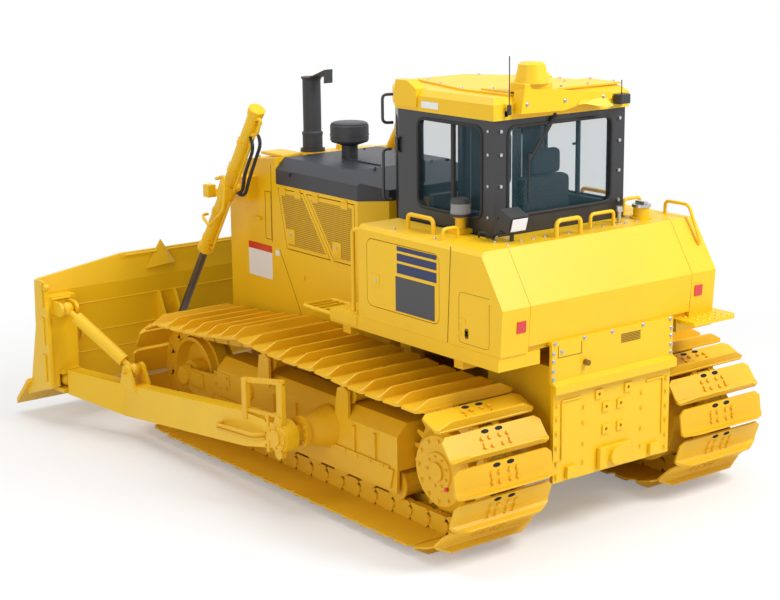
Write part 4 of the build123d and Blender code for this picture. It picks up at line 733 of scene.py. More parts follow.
# %% Rails and hoops
HOOP = 17
HOOP_TOP = 2300
rails = pipes("handrails_round", [
    *[[(1243, side * 1040, 2130), (1373, side * 1040, 2130), (1373, side * 1040, 1470)]
      for side in (-1, 1)],
    *[[(560, side * 900, TOP_Z), (560, side * 900, HOOP_TOP), (860, side * 900, HOOP_TOP),
       (860, side * 900, TOP_Z)] for side in (-1, 1)],
    *[[(1613, side * 760, 1410), (2033, side * 760, 1410), (2033, side * 1060, 1410),
       (1613, side * 1060, 1410)] for side in (-1, 1)],
    [(-120, 300, TOP_Z), (-120, 300, 2310), (-120, 60, 2310), (-120, 60, TOP_Z)],
], HOOP, yellow)
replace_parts(rails, "handrails")
pipes("slope_rail", [
    [(45, -1010, TOP_Z), (45, -1010, 2290), (-200, -1010, 2290), (-330, -1010, 2010), (-300, -1010, 1995)],
], 14, yellow)
pipes("tank_hoops", [
    [(-49, -110, TOP_Z), (-49, -110, HOOP_TOP), (-49, -350, HOOP_TOP), (-49, -350, TOP_Z)],
    [(250, -760, TOP_Z), (250, -760, HOOP_TOP), (250, -940, HOOP_TOP), (250, -940, TOP_Z)],
    [(330, 1000, TOP_Z), (330, 1000, 2270), (330, 860, 2270), (330, 860, TOP_Z)],
], 14, yellow, bend=35)

# %% [markdown]
# The rear: a bolted apron with a louvre and a small hatch, the perforated step on the right,
# and studs over the rear plate. A louvre can be cut with a boolean, but six dark slits just proud
# of the sheet read the same from a step away, and leave the CAD solid alone.
# %% Rear apron
REAR_PLATE = -430
APRON_FACE = -430


def apron_dark(shape):
    """The louvre's slits, a round hole and the hatch's joint."""
    for row in range(6):
        block(shape, (-434, -272, 1398 + row * 12), (-429, -72, 1403 + row * 12), edge=0)
    rod(shape, (-470, 293, 1316), (-429, 293, 1316), 22)
    for start, end in (((560, 1478), (560, 1390)), ((330, 1478), (330, 1390)), ((560, 1390), (330, 1390))):
        rod(shape, (-431, *start), (-431, *end), 2.5, sides=6)


def apron_bolts(shape):
    """Bolts along the apron's edges."""
    for lateral in (-590, -300, 20, 300, 590):
        bolt(shape, (APRON_FACE, lateral, 1500), (-13, 0, 0), radius=12)
    for side in (-1, 1):
        for height in (1430, 1370, 1300, 1240):
            bolt(shape, (APRON_FACE, side * 604, height), (-13, 0, 0), radius=12)
    bolt(shape, (APRON_FACE, 520, 1430), (-13, 0, 0), radius=12)


# %% Rear plate
def plate_studs(shape):
    """Studs round the rear plate and in two rows on it."""
    for lateral in (-560, -420, -270, -60, 60, 270, 330, 420, 520, 560):
        bolt(shape, (REAR_PLATE, lateral, 1140 - abs(lateral) * 0.02), (-14, 0, 0), radius=15)
    for side in (-1, 1):
        for height in (1040, 940, 830, 720, 600, 500):
            bolt(shape, (REAR_PLATE, side * 565, height), (-14, 0, 0), radius=15)
        for height in (980, 860, 700, 560):
            bolt(shape, (REAR_PLATE, side * 300, height), (-14, 0, 0), radius=13)


def rear_ribs(shape):
    """Corner ribs, feet and the round boss low on the plate."""
    for side in (-1, 1):
        rod(shape, (-436, side * 340, 1060), (-436, side * 520, 1060), 8, sides=10)
        rod(shape, (-436, side * 520, 1060), (-436, side * 520, 620), 8, sides=10)
        block(shape, (-460, side * 380, 470), (-430, side * 480, 560))
    block(shape, (-470, -160, 470), (-430, 160, 640), edge=8)
    rod(shape, (-500, 0, 560), (-430, 0, 560), 70)


# %% Step at the right rear
def tread_rims(shape, aheads, laterals, foot, top, radius, tip):
    """A grid of raised rims that give a boot its grip."""
    for ahead in aheads:
        for lateral in laterals:
            rod(shape, (ahead, lateral, foot), (ahead, lateral, top), radius, tip=tip, sides=12)


def tread_holes(shape):
    """The raised rims of this step."""
    tread_rims(shape, range(-560, -212, 58), range(-800, -1160, -72), 1471, 1478, 15, 9)


piece("apron_openings", apron_dark, shadow)
piece("apron_bolts", apron_bolts, bright)
piece("rear_plate_studs", plate_studs, yellow)
piece("rear_plate_ribs", rear_ribs, yellow)
piece("right_step_tread", tread_holes, yellow)

# %% [markdown]
# The track frames and the hubs are castings with covers, ribs and rings of bolts. A ring of
# bolts could be an Array round an empty, but a loop that sets each one down by its angle needs
# no helper object, and one mesh holds them all.
# %% Track frames
TRUNNION_AHEAD = 1360
TRUNNION_Z = 605


def frame_dressing(side):
    """Covers and bolts on the outer side of one track frame."""
    face = side * 1325
    tag = "left" if side > 0 else "right"

    def covers(shape):
        """Round cover, pads, ribs, lower rail and the idler's cap."""
        rod(shape, (2480, face - side * 4, 640), (2480, face + side * 16, 640), 84, sides=32)
        block(shape, (2760, face - side * 4, 575), (3000, face + side * 12, 705), edge=5)
        for reach in (720, 980, 1760, 2080):
            block(shape, (reach, face - side * 2, 500), (reach + 24, face + side * 22, 700))
        block(shape, (560, face + side * 1, 455), (3050, face + side * 16, 490))
        plate(shape, [(500, face, 470), (900, face, 470), (830, face, 320), (540, face, 320)],
              (0, side * 18, 0))
        rod(shape, (3480, side * 1301, 561), (3480, side * 1360, 561), 92, tip=80, sides=28)
        block(shape, (3180, side * 1324, 500), (3400, side * 1344, 622), edge=5)

    def bolts(shape):
        """Bolts round the cover, along the rail, on the pads and round the trunnion."""
        bolt_circle(shape, (2480, face + side * 14, 640), 66, 8, (0, side * 12, 0), 9)
        for reach in range(620, 3030, 160):
            bolt(shape, (reach, face + side * 14, 472), (0, side * 12, 0), radius=11)
        for reach, height in ((3210, 525), (3210, 597), (3370, 525), (3370, 597), (2790, 600), (2970, 600),
                              (2790, 680), (2970, 680)):
            bolt(shape, (reach, face + side * 14, height), (0, side * 12, 0), radius=11)
        bolt_circle(shape, (TRUNNION_AHEAD, side * 1596, TRUNNION_Z), 100, 10, (0, side * 14, 0), 11)

    piece(f"frame_covers_{tag}", covers, low_yellow_dust_and_shade)
    piece(f"frame_bolts_{tag}", bolts, low_yellow_dust_and_shade)


# %% Sprocket hubs
HUB_Z = 590


def hub_dressing(side):
    """Bolt circles and a plug on one sprocket hub."""
    tag = "left" if side > 0 else "right"

    def hub(shape):
        """The hub's two steps and its three rings of bolts."""
        rod(shape, (0, side * 1310, HUB_Z), (0, side * 1330, HUB_Z), 150, tip=140, sides=40)
        rod(shape, (0, side * 1328, HUB_Z), (0, side * 1348, HUB_Z), 70, sides=24)
        for lateral, radius, count, size in ((1313, 225, 12, 15), (1328, 110, 9, 11), (1160, 345, 24, 13)):
            bolt_circle(shape, (0, side * lateral, HUB_Z), radius, count, (0, side * 15, 0), size)

    def plug(shape):
        """The red drain plug."""
        rod(shape, (-100, side * 1310, 480), (-100, side * 1336, 480), 16)

    piece(f"hub_cover_{tag}", hub, low_yellow_dust_and_shade)
    piece(f"hub_plug_{tag}", plug, red)


for side in (1, -1):
    frame_dressing(side)
    hub_dressing(side)

# %% [markdown]
# The blade's back has weld beads, a sight ear and plates at its ends. The arms carry a ladder
# step, a low step and a cap over each trunnion. All of it could hang on the blade's one object,
# but each arm moves on its own when the blade tilts, so every piece rides the arm that it sits on.
# %% Back of the blade
def blade_back(shape):
    """Weld beads, the sight ear, and the plates and pins at the blade's ends."""
    for height in (1060, 790, 610):
        rod(shape, (4600, -1845, height), (4600, 1845, height), 7, sides=8)
    rod(shape, (4612, -1265, 1440), (4612, 1265, 1440), 12, sides=10)
    plate(shape, [(4602, 1040, 1290), (4610, 878, 1545), (4560, 814, 1320)], (14, 0, 0))
    plate(shape, [(4610, 878, 1545), (4602, 728, 1308), (4560, 814, 1320)], (14, 0, 0))
    for side in (-1, 1):
        block(shape, (4448, side * 1905, 1168), (4600, side * 2092, 1186), edge=5)
        for height in (420, 760, 1100):
            block(shape, (4500, side * 2150, height), (4560, side * 2166, height + 250), edge=3)
        block(shape, (4560, side * 1700, 880), (4600, side * 1800, 905), edge=4)
        rod(shape, (4575, side * 1750, 760), (4575, side * 1750, 890), 12)
        for lateral in (1906, 2090):
            bolt(shape, (4480, side * lateral, 1186), (0, 0, 14), radius=14)
        rod(shape, (4470, side * 2118, 1290), (4470, side * 2156, 1290), 30)


# %% Push arms
ARM_FACE = 1774


def arm_dressing(side):
    """Steps, plates, cap and pins on one arm."""
    tag = "left" if side > 0 else "right"
    outer = side * ARM_FACE

    def steps(shape):
        """The ladder step and the upright plate on the arm."""
        block(shape, (1795, outer - side * 30, 640), (1862, outer + side * 14, 972), edge=6)
        block(shape, (1300, outer - side * 30, 690), (1372, outer + side * 14, 1040), edge=6)
        plate(shape, [(1862, outer, 972), (1300, outer, 1066), (1300, outer, 1026), (1862, outer, 932)],
              (0, side * -24, 0))
        plate(shape, [(1830, outer, 730), (1330, outer, 780), (1330, outer, 755), (1830, outer, 705)],
              (0, side * -24, 0))
        block(shape, (1490, side * 1640, 446), (1528, side * 1786, 752), edge=8)
        for height in (500, 600, 700):
            bolt(shape, (1528, side * 1778, height), (16, 0, 0), radius=10)

    def cap(shape):
        """The trunnion's cap with its lobes and bolts."""
        rod(shape, (TRUNNION_AHEAD, side * 1752, TRUNNION_Z), (TRUNNION_AHEAD, side * 1806, TRUNNION_Z),
            116, tip=108, sides=36)
        rod(shape, (TRUNNION_AHEAD, side * 1800, TRUNNION_Z), (TRUNNION_AHEAD, side * 1822, TRUNNION_Z),
            62, sides=28)
        rod(shape, (1340, side * 1752, 728), (1340, side * 1800, 728), 46, sides=24)
        rod(shape, (1340, side * 1752, 482), (1340, side * 1800, 482), 46, sides=24)
        bolt_circle(shape, (TRUNNION_AHEAD, side * 1804, TRUNNION_Z), 88, 6, (0, side * 13, 0), 10, turn=0.5)

    def pins(shape):
        """The pin through the brace's eyes."""
        rod(shape, (3711, side * 1708 - 104, 622), (3711, side * 1708 + 104, 622), 24)
        for end in (-1, 1):
            bolt(shape, (3711, side * 1708 + end * 100, 622), (0, end * 16, 0), radius=16)

    piece(f"arm_steps_{tag}", steps, low_yellow_dust_and_shade, body=f"push_arm_{tag}")
    piece(f"arm_cap_{tag}", cap, low_yellow_dust_and_shade, body=f"push_arm_{tag}")
    piece(f"arm_pins_{tag}", pins, low_yellow_dust_and_shade, body=f"push_arm_{tag}")
    pipes(f"arm_low_step_{tag}", [
        [(2160, outer, 535), (2160, outer + side * 80, 535), (1620, outer + side * 80, 575),
         (1560, outer, 580)],
        [(2160, outer, 500), (2160, outer + side * 74, 500), (1620, outer + side * 74, 540),
         (1560, outer, 545)],
    ], 14, low_yellow_dust_and_shade, body=f"push_arm_{tag}")


# %% Setting them on the blade and the arms
piece("blade_back_details", blade_back, yellow, body="blade")
for side in (1, -1):
    arm_dressing(side)

# %% [markdown]
# The lift cylinders: bands and side pipes along the barrel, a hoop that guards the valve, a
# sensor box, and black hoses that stand beside the barrel. The cylinder leans, so straight X and
# Z numbers would be hard to read. A small function turns a distance along the barrel and out
# from it into a place. The bands are spun from their section with a bore, so that the rod can
# slide through them when the blade is lifted.
# %% A band with a bore
def ring(shape, start, end, radius, hole, sides=36):
    """A band with a hole through it, spun from its section."""
    first = spot(*start)
    last = spot(*end)
    axis = (last - first).normalized()
    across = axis.orthogonal().normalized() / 1000
    corners = [shape.verts.new(place + across * reach)
               for place, reach in ((first, hole), (first, radius), (last, radius), (last, hole))]
    sides_of = [shape.edges.new(pair) for pair in zip(corners, corners[1:] + corners[:1])]
    bmesh.ops.spin(shape, geom=corners + sides_of, cent=first, axis=axis, angle=math.tau,
                   steps=sides, use_merge=True)


# %% Places along the barrel
PIVOT = (3463, 850, 2151)
LIFT_RUN = Vector((1019, 0, -1496)).normalized()
LIFT_SIDE = Vector((-LIFT_RUN.z, 0, LIFT_RUN.x))


def on_barrel(side, along, out=0, lateral=0):
    """A point beside the barrel: along it, out to its front, and to its outer side."""
    centre = Vector(PIVOT) + LIFT_RUN * along + LIFT_SIDE * out
    return (centre.x, side * (centre.y + lateral), centre.z)


# %% Lift cylinders
BAND_BORE = 50
GLAND_BOLTS = 56
# Each band's start along the barrel, its width and its radius
BANDS = ((-903, 40, 72), (-560, 46, 67), (-250, 40, 66), (240, 40, 66), (560, 34, 66), (655, 56, 74))


def lift_dressing(side):
    """Bands, pipes, guard and hoses on one lift cylinder's barrel."""
    tag = "left" if side > 0 else "right"
    body = f"lift_cylinder_barrel_{tag}"

    def bands(shape):
        """Bands round the barrel, the sensor's box and the pipes' brackets."""
        for along, width, radius in BANDS:
            ring(shape, on_barrel(side, along), on_barrel(side, along + width), radius, BAND_BORE)
        block(shape, (3560, side * 905, 2080), (3650, side * 985, 2190), edge=6)
        block(shape, (3530, side * 890, 2110), (3600, side * 915, 2150), edge=3)
        for along in (-830, -120, 600):
            block(shape, on_barrel(side, along, -92, -20), on_barrel(side, along + 30, -55, 20), edge=0)

    def gland_bolts(shape):
        """A ring of bolts on the gland's face."""
        for step in range(8):
            angle = math.tau * step / 8
            bolt(shape, on_barrel(side, 712, GLAND_BOLTS * math.cos(angle), GLAND_BOLTS * math.sin(angle)),
                 LIFT_RUN * 14, radius=9)

    piece(f"lift_bands_{tag}", bands, yellow, body=body, smooth=True)
    piece(f"lift_gland_bolts_{tag}", gland_bolts, yellow, body=body)
    pipes(f"lift_pipes_{tag}", [
        [on_barrel(side, -840, -60), on_barrel(side, -860, -110), on_barrel(side, -700, -84),
         on_barrel(side, -60, -84)],
        [on_barrel(side, 630, -60), on_barrel(side, 640, -92), on_barrel(side, 120, -92),
         on_barrel(side, 60, -84)],
        [on_barrel(side, -830, -50, 30), on_barrel(side, -900, -120, 30), on_barrel(side, -760, -150, 30),
         on_barrel(side, -700, -90, 30)],
    ], 13, yellow, body=body, bend=40)
    pipes(f"lift_guard_{tag}", [
        [on_barrel(side, -90, 60, 66), on_barrel(side, -90, 60, 130), on_barrel(side, -230, -60, 130),
         on_barrel(side, 60, -190, 130), on_barrel(side, 330, -90, 130), on_barrel(side, 330, 60, 130),
         on_barrel(side, 330, 60, 60)],
    ], 13, yellow, body=body, bend=50)
    pipes(f"lift_hoses_{tag}", [
        [on_barrel(side, -700, -84, -24), on_barrel(side, -690, -170, -24), on_barrel(side, -300, -190, -24),
         on_barrel(side, -60, -180, -60), on_barrel(side, -30, -110, -60)],
        [on_barrel(side, -640, -84, 16), on_barrel(side, -620, -150, 16), on_barrel(side, -300, -160, 16),
         on_barrel(side, -90, -160, -40), on_barrel(side, -50, -110, -40)],
    ], 15, rubber, body=body, bend=90)


for side in (1, -1):
    lift_dressing(side)

# %% [markdown]
# The hood: perforated panels set into its doors, latches, a recess and a blank sign on the
# radiator mask, the caps on top, and the exhaust's flared lip with its flap. The panels could be
# traced again, but a door's own outline drawn in towards its middle keeps them parallel to the
# door's edges, and follows the door if its corners move.
# %% Engine doors
def inset_outline(corners, share):
    """The same outline drawn in towards its middle."""
    middle = sum((Vector(corner) for corner in corners), Vector((0, 0))) / len(corners)
    return [Vector(corner).lerp(middle, share) for corner in corners]


FRONT_DOOR = ((2930, 1672), (3050, 2192), (2672, 2192), (2282, 1672))
REAR_DOOR = ((2238, 1672), (2628, 2192), (1940, 2192), (1940, 1672))
DOOR_Y = 600
PANEL_INSET = 0.16


def door_dressing(side, tag, place, outline, latch):
    """The perforated panel and the catch of one engine door."""
    body = f"engine_door_{place}_{tag}"
    face = side * DOOR_Y
    ahead, up = latch

    def panel(shape):
        """The panel, a little inside the door's outline."""
        plate(shape, [(x, face, z) for x, z in inset_outline(outline, PANEL_INSET)], (0, side * 2, 0))

    def catch(shape):
        """The catch's plate and its handle."""
        block(shape, (ahead - 60, face - side * 2, up - 62), (ahead + 60, face + side * 8, up + 62))
        block(shape, (ahead - 38, face + side * 6, up - 40), (ahead + 38, face + side * 12, up - 12))

    def catch_pin(shape):
        """The catch's bright lock."""
        rod(shape, (ahead, face, up + 18), (ahead, face + side * 14, up + 18), 13)

    # The panel's darker yellow and its dark spots are painted shade in its holes
    piece(f"{body}_mesh", panel, perforated_yellow_shaded, body=body)
    piece(f"{body}_catch", catch, yellow, body=body)
    piece(f"{body}_catch_pin", catch_pin, bright, body=body)


# %% Radiator mask
MASK_SEAMS = (
    ((3038, 1650), (2795, 1245)), ((2795, 1245), (2640, 960)), ((3150, 1700), (3150, 2380)),
    ((3250, 1720), (3250, 2140)), ((3160, 1720), (3160, 2140)), ((3160, 2140), (3250, 2140)),
    ((3160, 1720), (3250, 1720)),
)


def mask_side(side, tag):
    """The grooves, the handle and the blank sign on one side of the mask."""
    face = side * DOOR_Y

    def seams(shape):
        """Panel joints and the outline of the tall recess."""
        for start, end in MASK_SEAMS:
            rod(shape, (start[0], face, start[1]), (end[0], face, end[1]), 3, sides=6)

    def handle(shape):
        """The mask's handle and a round plug."""
        rod(shape, (3349, face, 1887), (3349, face + side * 26, 1887), 16)
        block(shape, (3290, face + side * 18, 1878), (3400, face + side * 34, 1898))
        rod(shape, (2681, face, 1467), (2681, face + side * 10, 1467), 24)

    def sign(shape):
        """The sign's white field and a small label."""
        side_plate(shape, face, (3532, 3160), (1361, 1600), side * STICKER)
        side_plate(shape, face, (3105, 3045), (1590, 1640), side * STICKER)

    def sign_head(shape):
        """The sign's red band."""
        side_plate(shape, face, (3532, 3160), (1600, 1662), side * STICKER)

    piece(f"mask_seams_{tag}", seams, shadow)
    piece(f"mask_handle_{tag}", handle, yellow)
    piece(f"mask_sign_{tag}", sign, white)
    piece(f"mask_sign_head_{tag}", sign_head, red)


for side, tag in ((1, "left"), (-1, "right")):
    door_dressing(side, tag, "front", FRONT_DOOR, (2859, 1790))
    door_dressing(side, tag, "rear", REAR_DOOR, (2190, 1776))
    mask_side(side, tag)


# %% Top of the hood, air cleaner and exhaust
def mask_caps(shape):
    """The lid over the tank of the radiator, and its cap."""
    block(shape, (3085, 300, 2436), (3420, 520, 2462), edge=6)
    rod(shape, (3250, -250, 2400), (3250, -250, 2470), 70, tip=62, sides=28)
    for lateral in (-480, 480):
        bolt(shape, (3500, lateral, 2398), (0, 0, 14), radius=12)


def hood_details(shape):
    """A hinge strip, a plug, bolts and the rims on the air cleaner."""
    block(shape, (2130, 180, 2445), (2600, 196, 2457), edge=2)
    rod(shape, (2870, 598, 2330), (2870, 612, 2330), 22)
    for reach in (2050, 2500, 3000):
        for side in (-1, 1):
            bolt(shape, (reach, side * 300, 2444), (0, 0, 12), radius=10)
    rod(shape, (2675, 100, 2742), (2675, 100, 2752), 158, tip=140, sides=40)
    rod(shape, (2675, 100, 2640), (2675, 100, 2648), 168, sides=40)


def exhaust_lip(shape):
    """The flared lip, the collar and the open rain flap."""
    rod(shape, (3225, 100, 3072), (3225, 100, 3096), 82, tip=94, sides=40)
    rod(shape, (3225, 100, 2590), (3225, 100, 2612), 92, sides=40)
    plate(shape, [(3150, 20, 3094), (3060, 30, 3120), (2960, 60, 3170), (2955, 150, 3170), (3060, 175, 3120),
                  (3150, 180, 3094)], (0, 0, 8))
    plate(shape, [(2962, 60, 3176), (2957, 150, 3176), (2960, 150, 3060), (2965, 60, 3060)], (10, 0, 0))


piece("mask_caps", mask_caps, yellow, smooth=True)
piece("hood_details", hood_details, hood_dark, smooth=True)
piece("exhaust_lip", exhaust_lip, plastic, smooth=True)

# %% [markdown]
# Steps up to the cab: a perforated tread on each front fender, and rungs across the hoop before
# it. The rims stand up from the plate as short cones. Holes would take a boolean for each of
# them, and a boot feels the rims, not the holes.
# %% Steps
RUNG_Z = 1410
RUNGS = (1700, 1790, 1880, 1960)


def step_tread(side):
    """The tread plate on one front fender and the rungs ahead of it."""
    tag = "left" if side > 0 else "right"

    def tread(shape):
        """The tread plate, its lip and the raised rims."""
        block(shape, (1290, side * 770, 1468), (1600, side * 1080, 1478))
        block(shape, (1258, side * 1090, 1386), (1608, side * 1102, 1466))
        laterals = [side * lateral for lateral in range(1050, 750, -50)]
        tread_rims(shape, range(1320, 1608, 48), laterals, 1477, 1483, 13, 8)

    piece(f"step_tread_{tag}", tread, yellow)
    rungs = [[(ahead, side * 765, RUNG_Z), (ahead, side * 1055, RUNG_Z)] for ahead in RUNGS]
    pipes(f"step_rungs_{tag}", rungs, 9, yellow)


for side in (1, -1):
    step_tread(side)

# %% [markdown]
# The cab: rubber frames round its windows, the sliding pane's bars, a wiper, bolts down the
# corner posts, black grab bars, and on the roof a bolted cover, lamp housings, a mast box with
# its dome, whip aerials and rear lamps. A window rubber could be an inset of the wall's face, but
# the wall is a CAD solid that stays as it is. A round tube along the opening's edge covers the
# joint between wall and pane, as the real rubber does.
# %% Window rubbers
CAB_Y = 662
CAB_REAR = 160
WINDOW = ((289, 2305), (1038, 2990))
REAR_WINDOW = ((-530, 2319), (530, 2990))


def frame_route(low, high):
    """The corners of a window frame, starting and ending in the middle of its foot."""
    middle = (low[0] + high[0]) / 2
    return [(middle, low[1]), (low[0], low[1]), (low[0], high[1]), (high[0], high[1]), (high[0], low[1]),
            (middle, low[1])]


def drawn_in(window, margin):
    """The frame's route, a margin inside the window's opening."""
    (left, foot), (right, head) = window
    return frame_route((left + margin, foot + margin), (right - margin, head - margin))


side_route = drawn_in(WINDOW, 4)
rear_route = drawn_in(REAR_WINDOW, 6)
pipes("window_frames", [
    *[[(x, side * CAB_Y, z) for x, z in side_route] for side in (-1, 1)],
    [(CAB_REAR, y, z) for y, z in rear_route],
], 13, rubber, bend=75)


# %% Bars, wiper and bolts
def cab_bars(shape):
    """The sliding pane's bar, small round stops and the rear wiper."""
    for side in (-1, 1):
        block(shape, (625, side * 626, 2310), (660, side * 650, 2985), edge=3)
        for height in (2200, 2700):
            rod(shape, (700, side * 640, height), (700, side * 664, height), 10)
    rod(shape, (140, 86, 3035), (138, 330, 2740), 8, sides=10)
    rod(shape, (140, 70, 3035), (138, 300, 2735), 6, sides=10)
    rod(shape, (138, 340, 2760), (138, 345, 2440), 9, sides=10)
    rod(shape, (158, 86, 3036), (138, 86, 3036), 20)
    block(shape, (130, 320, 2735), (146, 350, 2775), edge=2)


def cab_bolts(shape):
    """Bolts down the corner posts."""
    for side in (-1, 1):
        for height in (2330, 2560, 2790, 2960):
            rod(shape, (158, side * 600, height), (146, side * 600, height), 13, sides=16)
            rod(shape, (220, side * 660, height), (220, side * 668, height), 11, sides=16)
    rod(shape, (158, 0, 2250), (150, 0, 2250), 10)


# %% Roof
ROOF_Z = 3200


def roof_cover(shape):
    """The raised cover and the plate on it."""
    outline = ((190, -600), (190, 500), (700, 500), (1480, 300), (1480, -300), (700, -600))
    plate(shape, [(*corner, ROOF_Z) for corner in outline], (0, 0, 16))
    plate(shape, [(175, -640, 3216), (175, 440, 3216), (560, 440, 3216), (560, -640, 3216)], (0, 0, 12))


def roof_bolts(shape):
    """Bolts on the cover, the roof and its rear edge."""
    for reach in (230, 480):
        for lateral in (-600, -330, -60, 210, 400):
            bolt(shape, (reach, lateral, 3227), (0, 0, 15), radius=12)
    for reach, lateral in ((760, -540), (760, 460), (1100, -400), (1100, 380), (1400, -260), (1400, 260)):
        bolt(shape, (reach, lateral, 3215), (0, 0, 15), radius=12)
    for lateral in (-330, 60, 430):
        bolt(shape, (60, lateral, 3150), (-14, 0, 0), radius=11)


def roof_label(shape):
    """A blank label on the roof's edge."""
    side_plate(shape, 684, (960, 760), (3070, 3120), STICKER)


def lamp_housings(shape):
    """The housings of the two front lamps."""
    for side in (-1, 1):
        plate(shape, [(1010, side * 596, 3070), (1010, side * 596, 3205), (1120, side * 596, 3262),
                      (1260, side * 596, 3262), (1290, side * 596, 3090), (1240, side * 596, 3060)],
              (0, side * 100, 0))


# %% Mast box, dome and aerials
def mast_box(shape):
    """The box and the bracket that carry the dome."""
    plate(shape, [(60, 490, 3085), (60, 455, 3260), (60, 150, 3240), (60, -140, 3200), (60, -420, 3175),
                  (60, -420, 3130), (60, -140, 3120), (60, 60, 3078)], (110, 0, 0))
    block(shape, (75, 170, 3205), (240, 440, 3296), edge=8)
    plate(shape, [(70, -120, 3175), (70, -330, 3165), (20, -400, 3080), (20, -330, 3070), (50, -140, 3110),
                  (50, -60, 3110)], (60, 0, 0))


def dome(shape):
    """The dome in three steps, each with its own taper."""
    rod(shape, (160, 300, 3290), (160, 300, 3312), 130, tip=126, sides=40)
    rod(shape, (160, 300, 3310), (160, 300, 3424), 122, tip=98, sides=40)
    rod(shape, (160, 300, 3424), (160, 300, 3438), 98, tip=80, sides=40)


def roof_blacks(shape):
    """Whip aerials on their sockets, and the rear lamps."""
    for place in ((110, 560), (60, -520)):
        rod(shape, (*place, 3150), (*place, 3500 if place[1] > 0 else 3260), 4, sides=8)
        rod(shape, (*place, 3080), (*place, 3150), 16)
    block(shape, (60, -620, 3075), (130, -500, 3150), edge=8)
    block(shape, (140, 540, 3060), (180, 580, 3110), edge=4)


# %% Setting them on the cab
piece("cab_bars", cab_bars, rubber)
piece("cab_bolts", cab_bolts, bright)
piece("roof_cover", roof_cover, yellow)
piece("roof_bolts", roof_bolts, bright)
piece("roof_label", roof_label, white)
piece("roof_lamp_housings", lamp_housings, yellow)
piece("mast_box", mast_box, yellow)
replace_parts(piece("mast_dome", dome, yellow, smooth=True), "roof_dome")
piece("roof_aerials", roof_blacks, plastic)
pipes("cab_grab_bars", [
    [(1470, side * 560, 3120), (1500, side * 640, 3120), (1500, side * 640, 2900), (1470, side * 560, 2900)]
    for side in (-1, 1)
] + [
    [(1440, side * 600, 2700), (1470, side * 660, 2700), (1470, side * 660, 2300), (1440, side * 600, 2300)]
    for side in (-1, 1)
], 12, black, bend=40)


# %% [markdown]
# Behind the glass: a seat with a head rest and arm rests, two levers, one of them red, and a
# display on a stalk. Cushions can be swelled with a cloth simulation. These are seen small and
# through tinted panes, so blocks with wide bevels stand for them, and the cloth's grain does the
# rest.
# %% Inside the cab
def seat_parts(shape):
    """Seat, back, head rest and arm rests."""
    block(shape, (500, -250, 1880), (900, 250, 2010), edge=30)
    block(shape, (300, -240, 1960), (430, 240, 2560), edge=40)
    block(shape, (310, -150, 2570), (400, 150, 2760), edge=35)
    for side in (-1, 1):
        block(shape, (420, side * 270, 2150), (760, side * 350, 2210), edge=20)


def controls(shape):
    """Two levers and the display on its stalk."""
    for side in (-1, 1):
        rod(shape, (980, side * 400, 2060), (960, side * 380, 2200), 16, tip=26)
    block(shape, (1330, 350, 2420), (1370, 560, 2600), edge=8)
    rod(shape, (1350, 450, 2420), (1350, 450, 2040), 14)


def lever_knob(shape):
    """The red lever."""
    rod(shape, (900, 420, 2090), (890, 420, 2190), 14, tip=22)


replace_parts(piece("seat_cushions", seat_parts, cloth, smooth=True), "operator_seat")
piece("cab_controls", controls, plastic, smooth=True)
piece("red_lever", lever_knob, red, smooth=True)

# %% [markdown]
# The studio is a pale floor under soft light. More light would whiten the background, but would
# bleach the yellow paint too. Instead the floor and the world look white only to rays that come
# from the camera, off gloss or through glass, and near the machine the floor stays a real one,
# so that it catches the shadow.
# %% Floor
FLOOR_HALF = 60
FLOOR_GREY = (0.86, 0.86, 0.86, 1)
SHADOW_REACH = 2.5
WHITE_REACH = 6.5
NEAR_GLOW = 0.25
bpy.context.scene.view_settings.view_transform = "Standard"
floor_mesh = bpy.data.meshes.new("floor")
sheet = bmesh.new()
bmesh.ops.create_grid(sheet, x_segments=1, y_segments=1, size=FLOOR_HALF)
sheet.to_mesh(floor_mesh)
sheet.free()
floor = bpy.data.objects.new("floor", floor_mesh)
bpy.context.scene.collection.objects.link(floor)
floor_paint = bpy.data.materials.new("studio_floor")
floor_paint.use_nodes = True
floor_shader = floor_paint.node_tree.nodes["Principled BSDF"]
floor_shader.inputs["Base Color"].default_value = FLOOR_GREY
floor_shader.inputs["Roughness"].default_value = 0.9
floor_shader.inputs["Specular IOR Level"].default_value = 0.0
floor_tree = floor_paint.node_tree


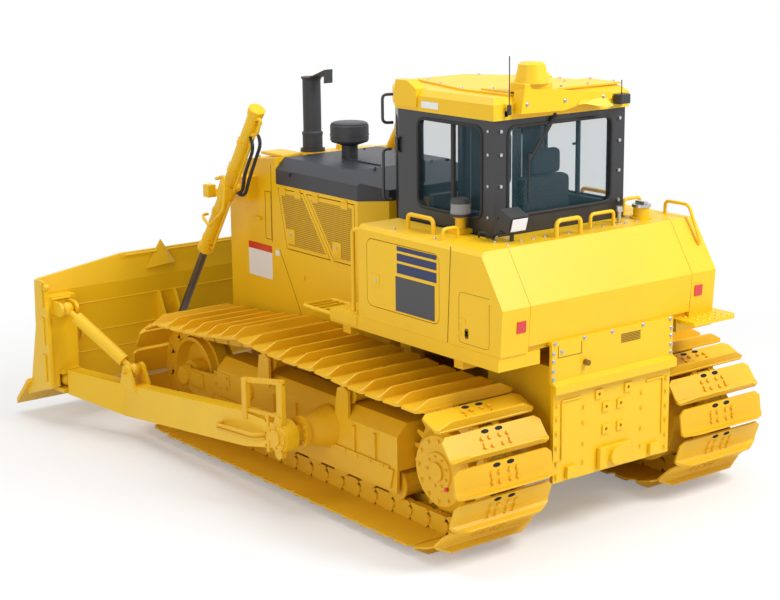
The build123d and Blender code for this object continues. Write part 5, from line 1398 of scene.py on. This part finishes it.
def plain_rays(tree):
    """1 for rays from the camera, off gloss or through glass, which all see a white studio."""
    rays = tree.nodes.new("ShaderNodeLightPath")
    seen = Flow(tree, rays.outputs["Is Camera Ray"])
    for kind in ("Is Glossy Ray", "Is Transmission Ray"):
        seen = seen.maths("MAXIMUM", seen, Flow(tree, rays.outputs[kind]))
    return seen


seen = plain_rays(floor_tree)
ground = add_node(floor_tree, "ShaderNodeTexCoord", {}, {}, output=3)
away = add_node(floor_tree, "ShaderNodeVectorMath", {"operation": "LENGTH"}, {0: ground}, output=1)
far = add_node(floor_tree, "ShaderNodeMapRange", {}, {
    0: away, 1: SHADOW_REACH, 2: WHITE_REACH, 3: NEAR_GLOW, 4: 1.0})
white_glow = add_node(floor_tree, "ShaderNodeEmission", {}, {"Color": (1, 1, 1, 1), "Strength": 1.0})
floor_look = add_node(floor_tree, "ShaderNodeMixShader", {}, {
    0: seen * far, 1: Flow(floor_tree, floor_shader.outputs[0]), 2: white_glow})
floor_tree.links.new(floor_look.socket, floor_tree.nodes["Material Output"].inputs["Surface"])
floor_mesh.materials.append(floor_paint)
print("the floor glows fully from", WHITE_REACH, "m out")

# %% World
world = bpy.data.worlds.new("studio")
world.use_nodes = True
sky = world.node_tree.nodes["Background"]
sky.inputs["Color"].default_value = (1.0, 1.0, 1.0, 1)
SKY_LIGHT = 0.50
sky_strength = plain_rays(world.node_tree) * (1 - SKY_LIGHT) + SKY_LIGHT
world.node_tree.links.new(sky_strength.socket, sky.inputs["Strength"])
bpy.context.scene.world = world


# %% Lamps
def area_lamp(name, place, aim, size, power):
    """A large soft lamp that points at a spot."""
    light = bpy.data.lights.new(name, "AREA")
    light.size = size
    light.energy = power
    lamp = bpy.data.objects.new(name, light)
    lamp.location = place
    lamp.rotation_euler = (Vector(aim) - Vector(place)).to_track_quat("-Z", "Y").to_euler()
    bpy.context.scene.collection.objects.link(lamp)


area_lamp("key_lamp", (-8.5, -3.5, 9.5), (0, 0, 1.2), 4.5, 1050)
area_lamp("fill_lamp", (-5.0, 10.0, 4.0), (0, 0, 1.2), 7.0, 260)
area_lamp("top_lamp", (2.0, 2.0, 12.0), (0, 0, 1.0), 7.0, 560)

print("lamps:", len(bpy.data.lights))
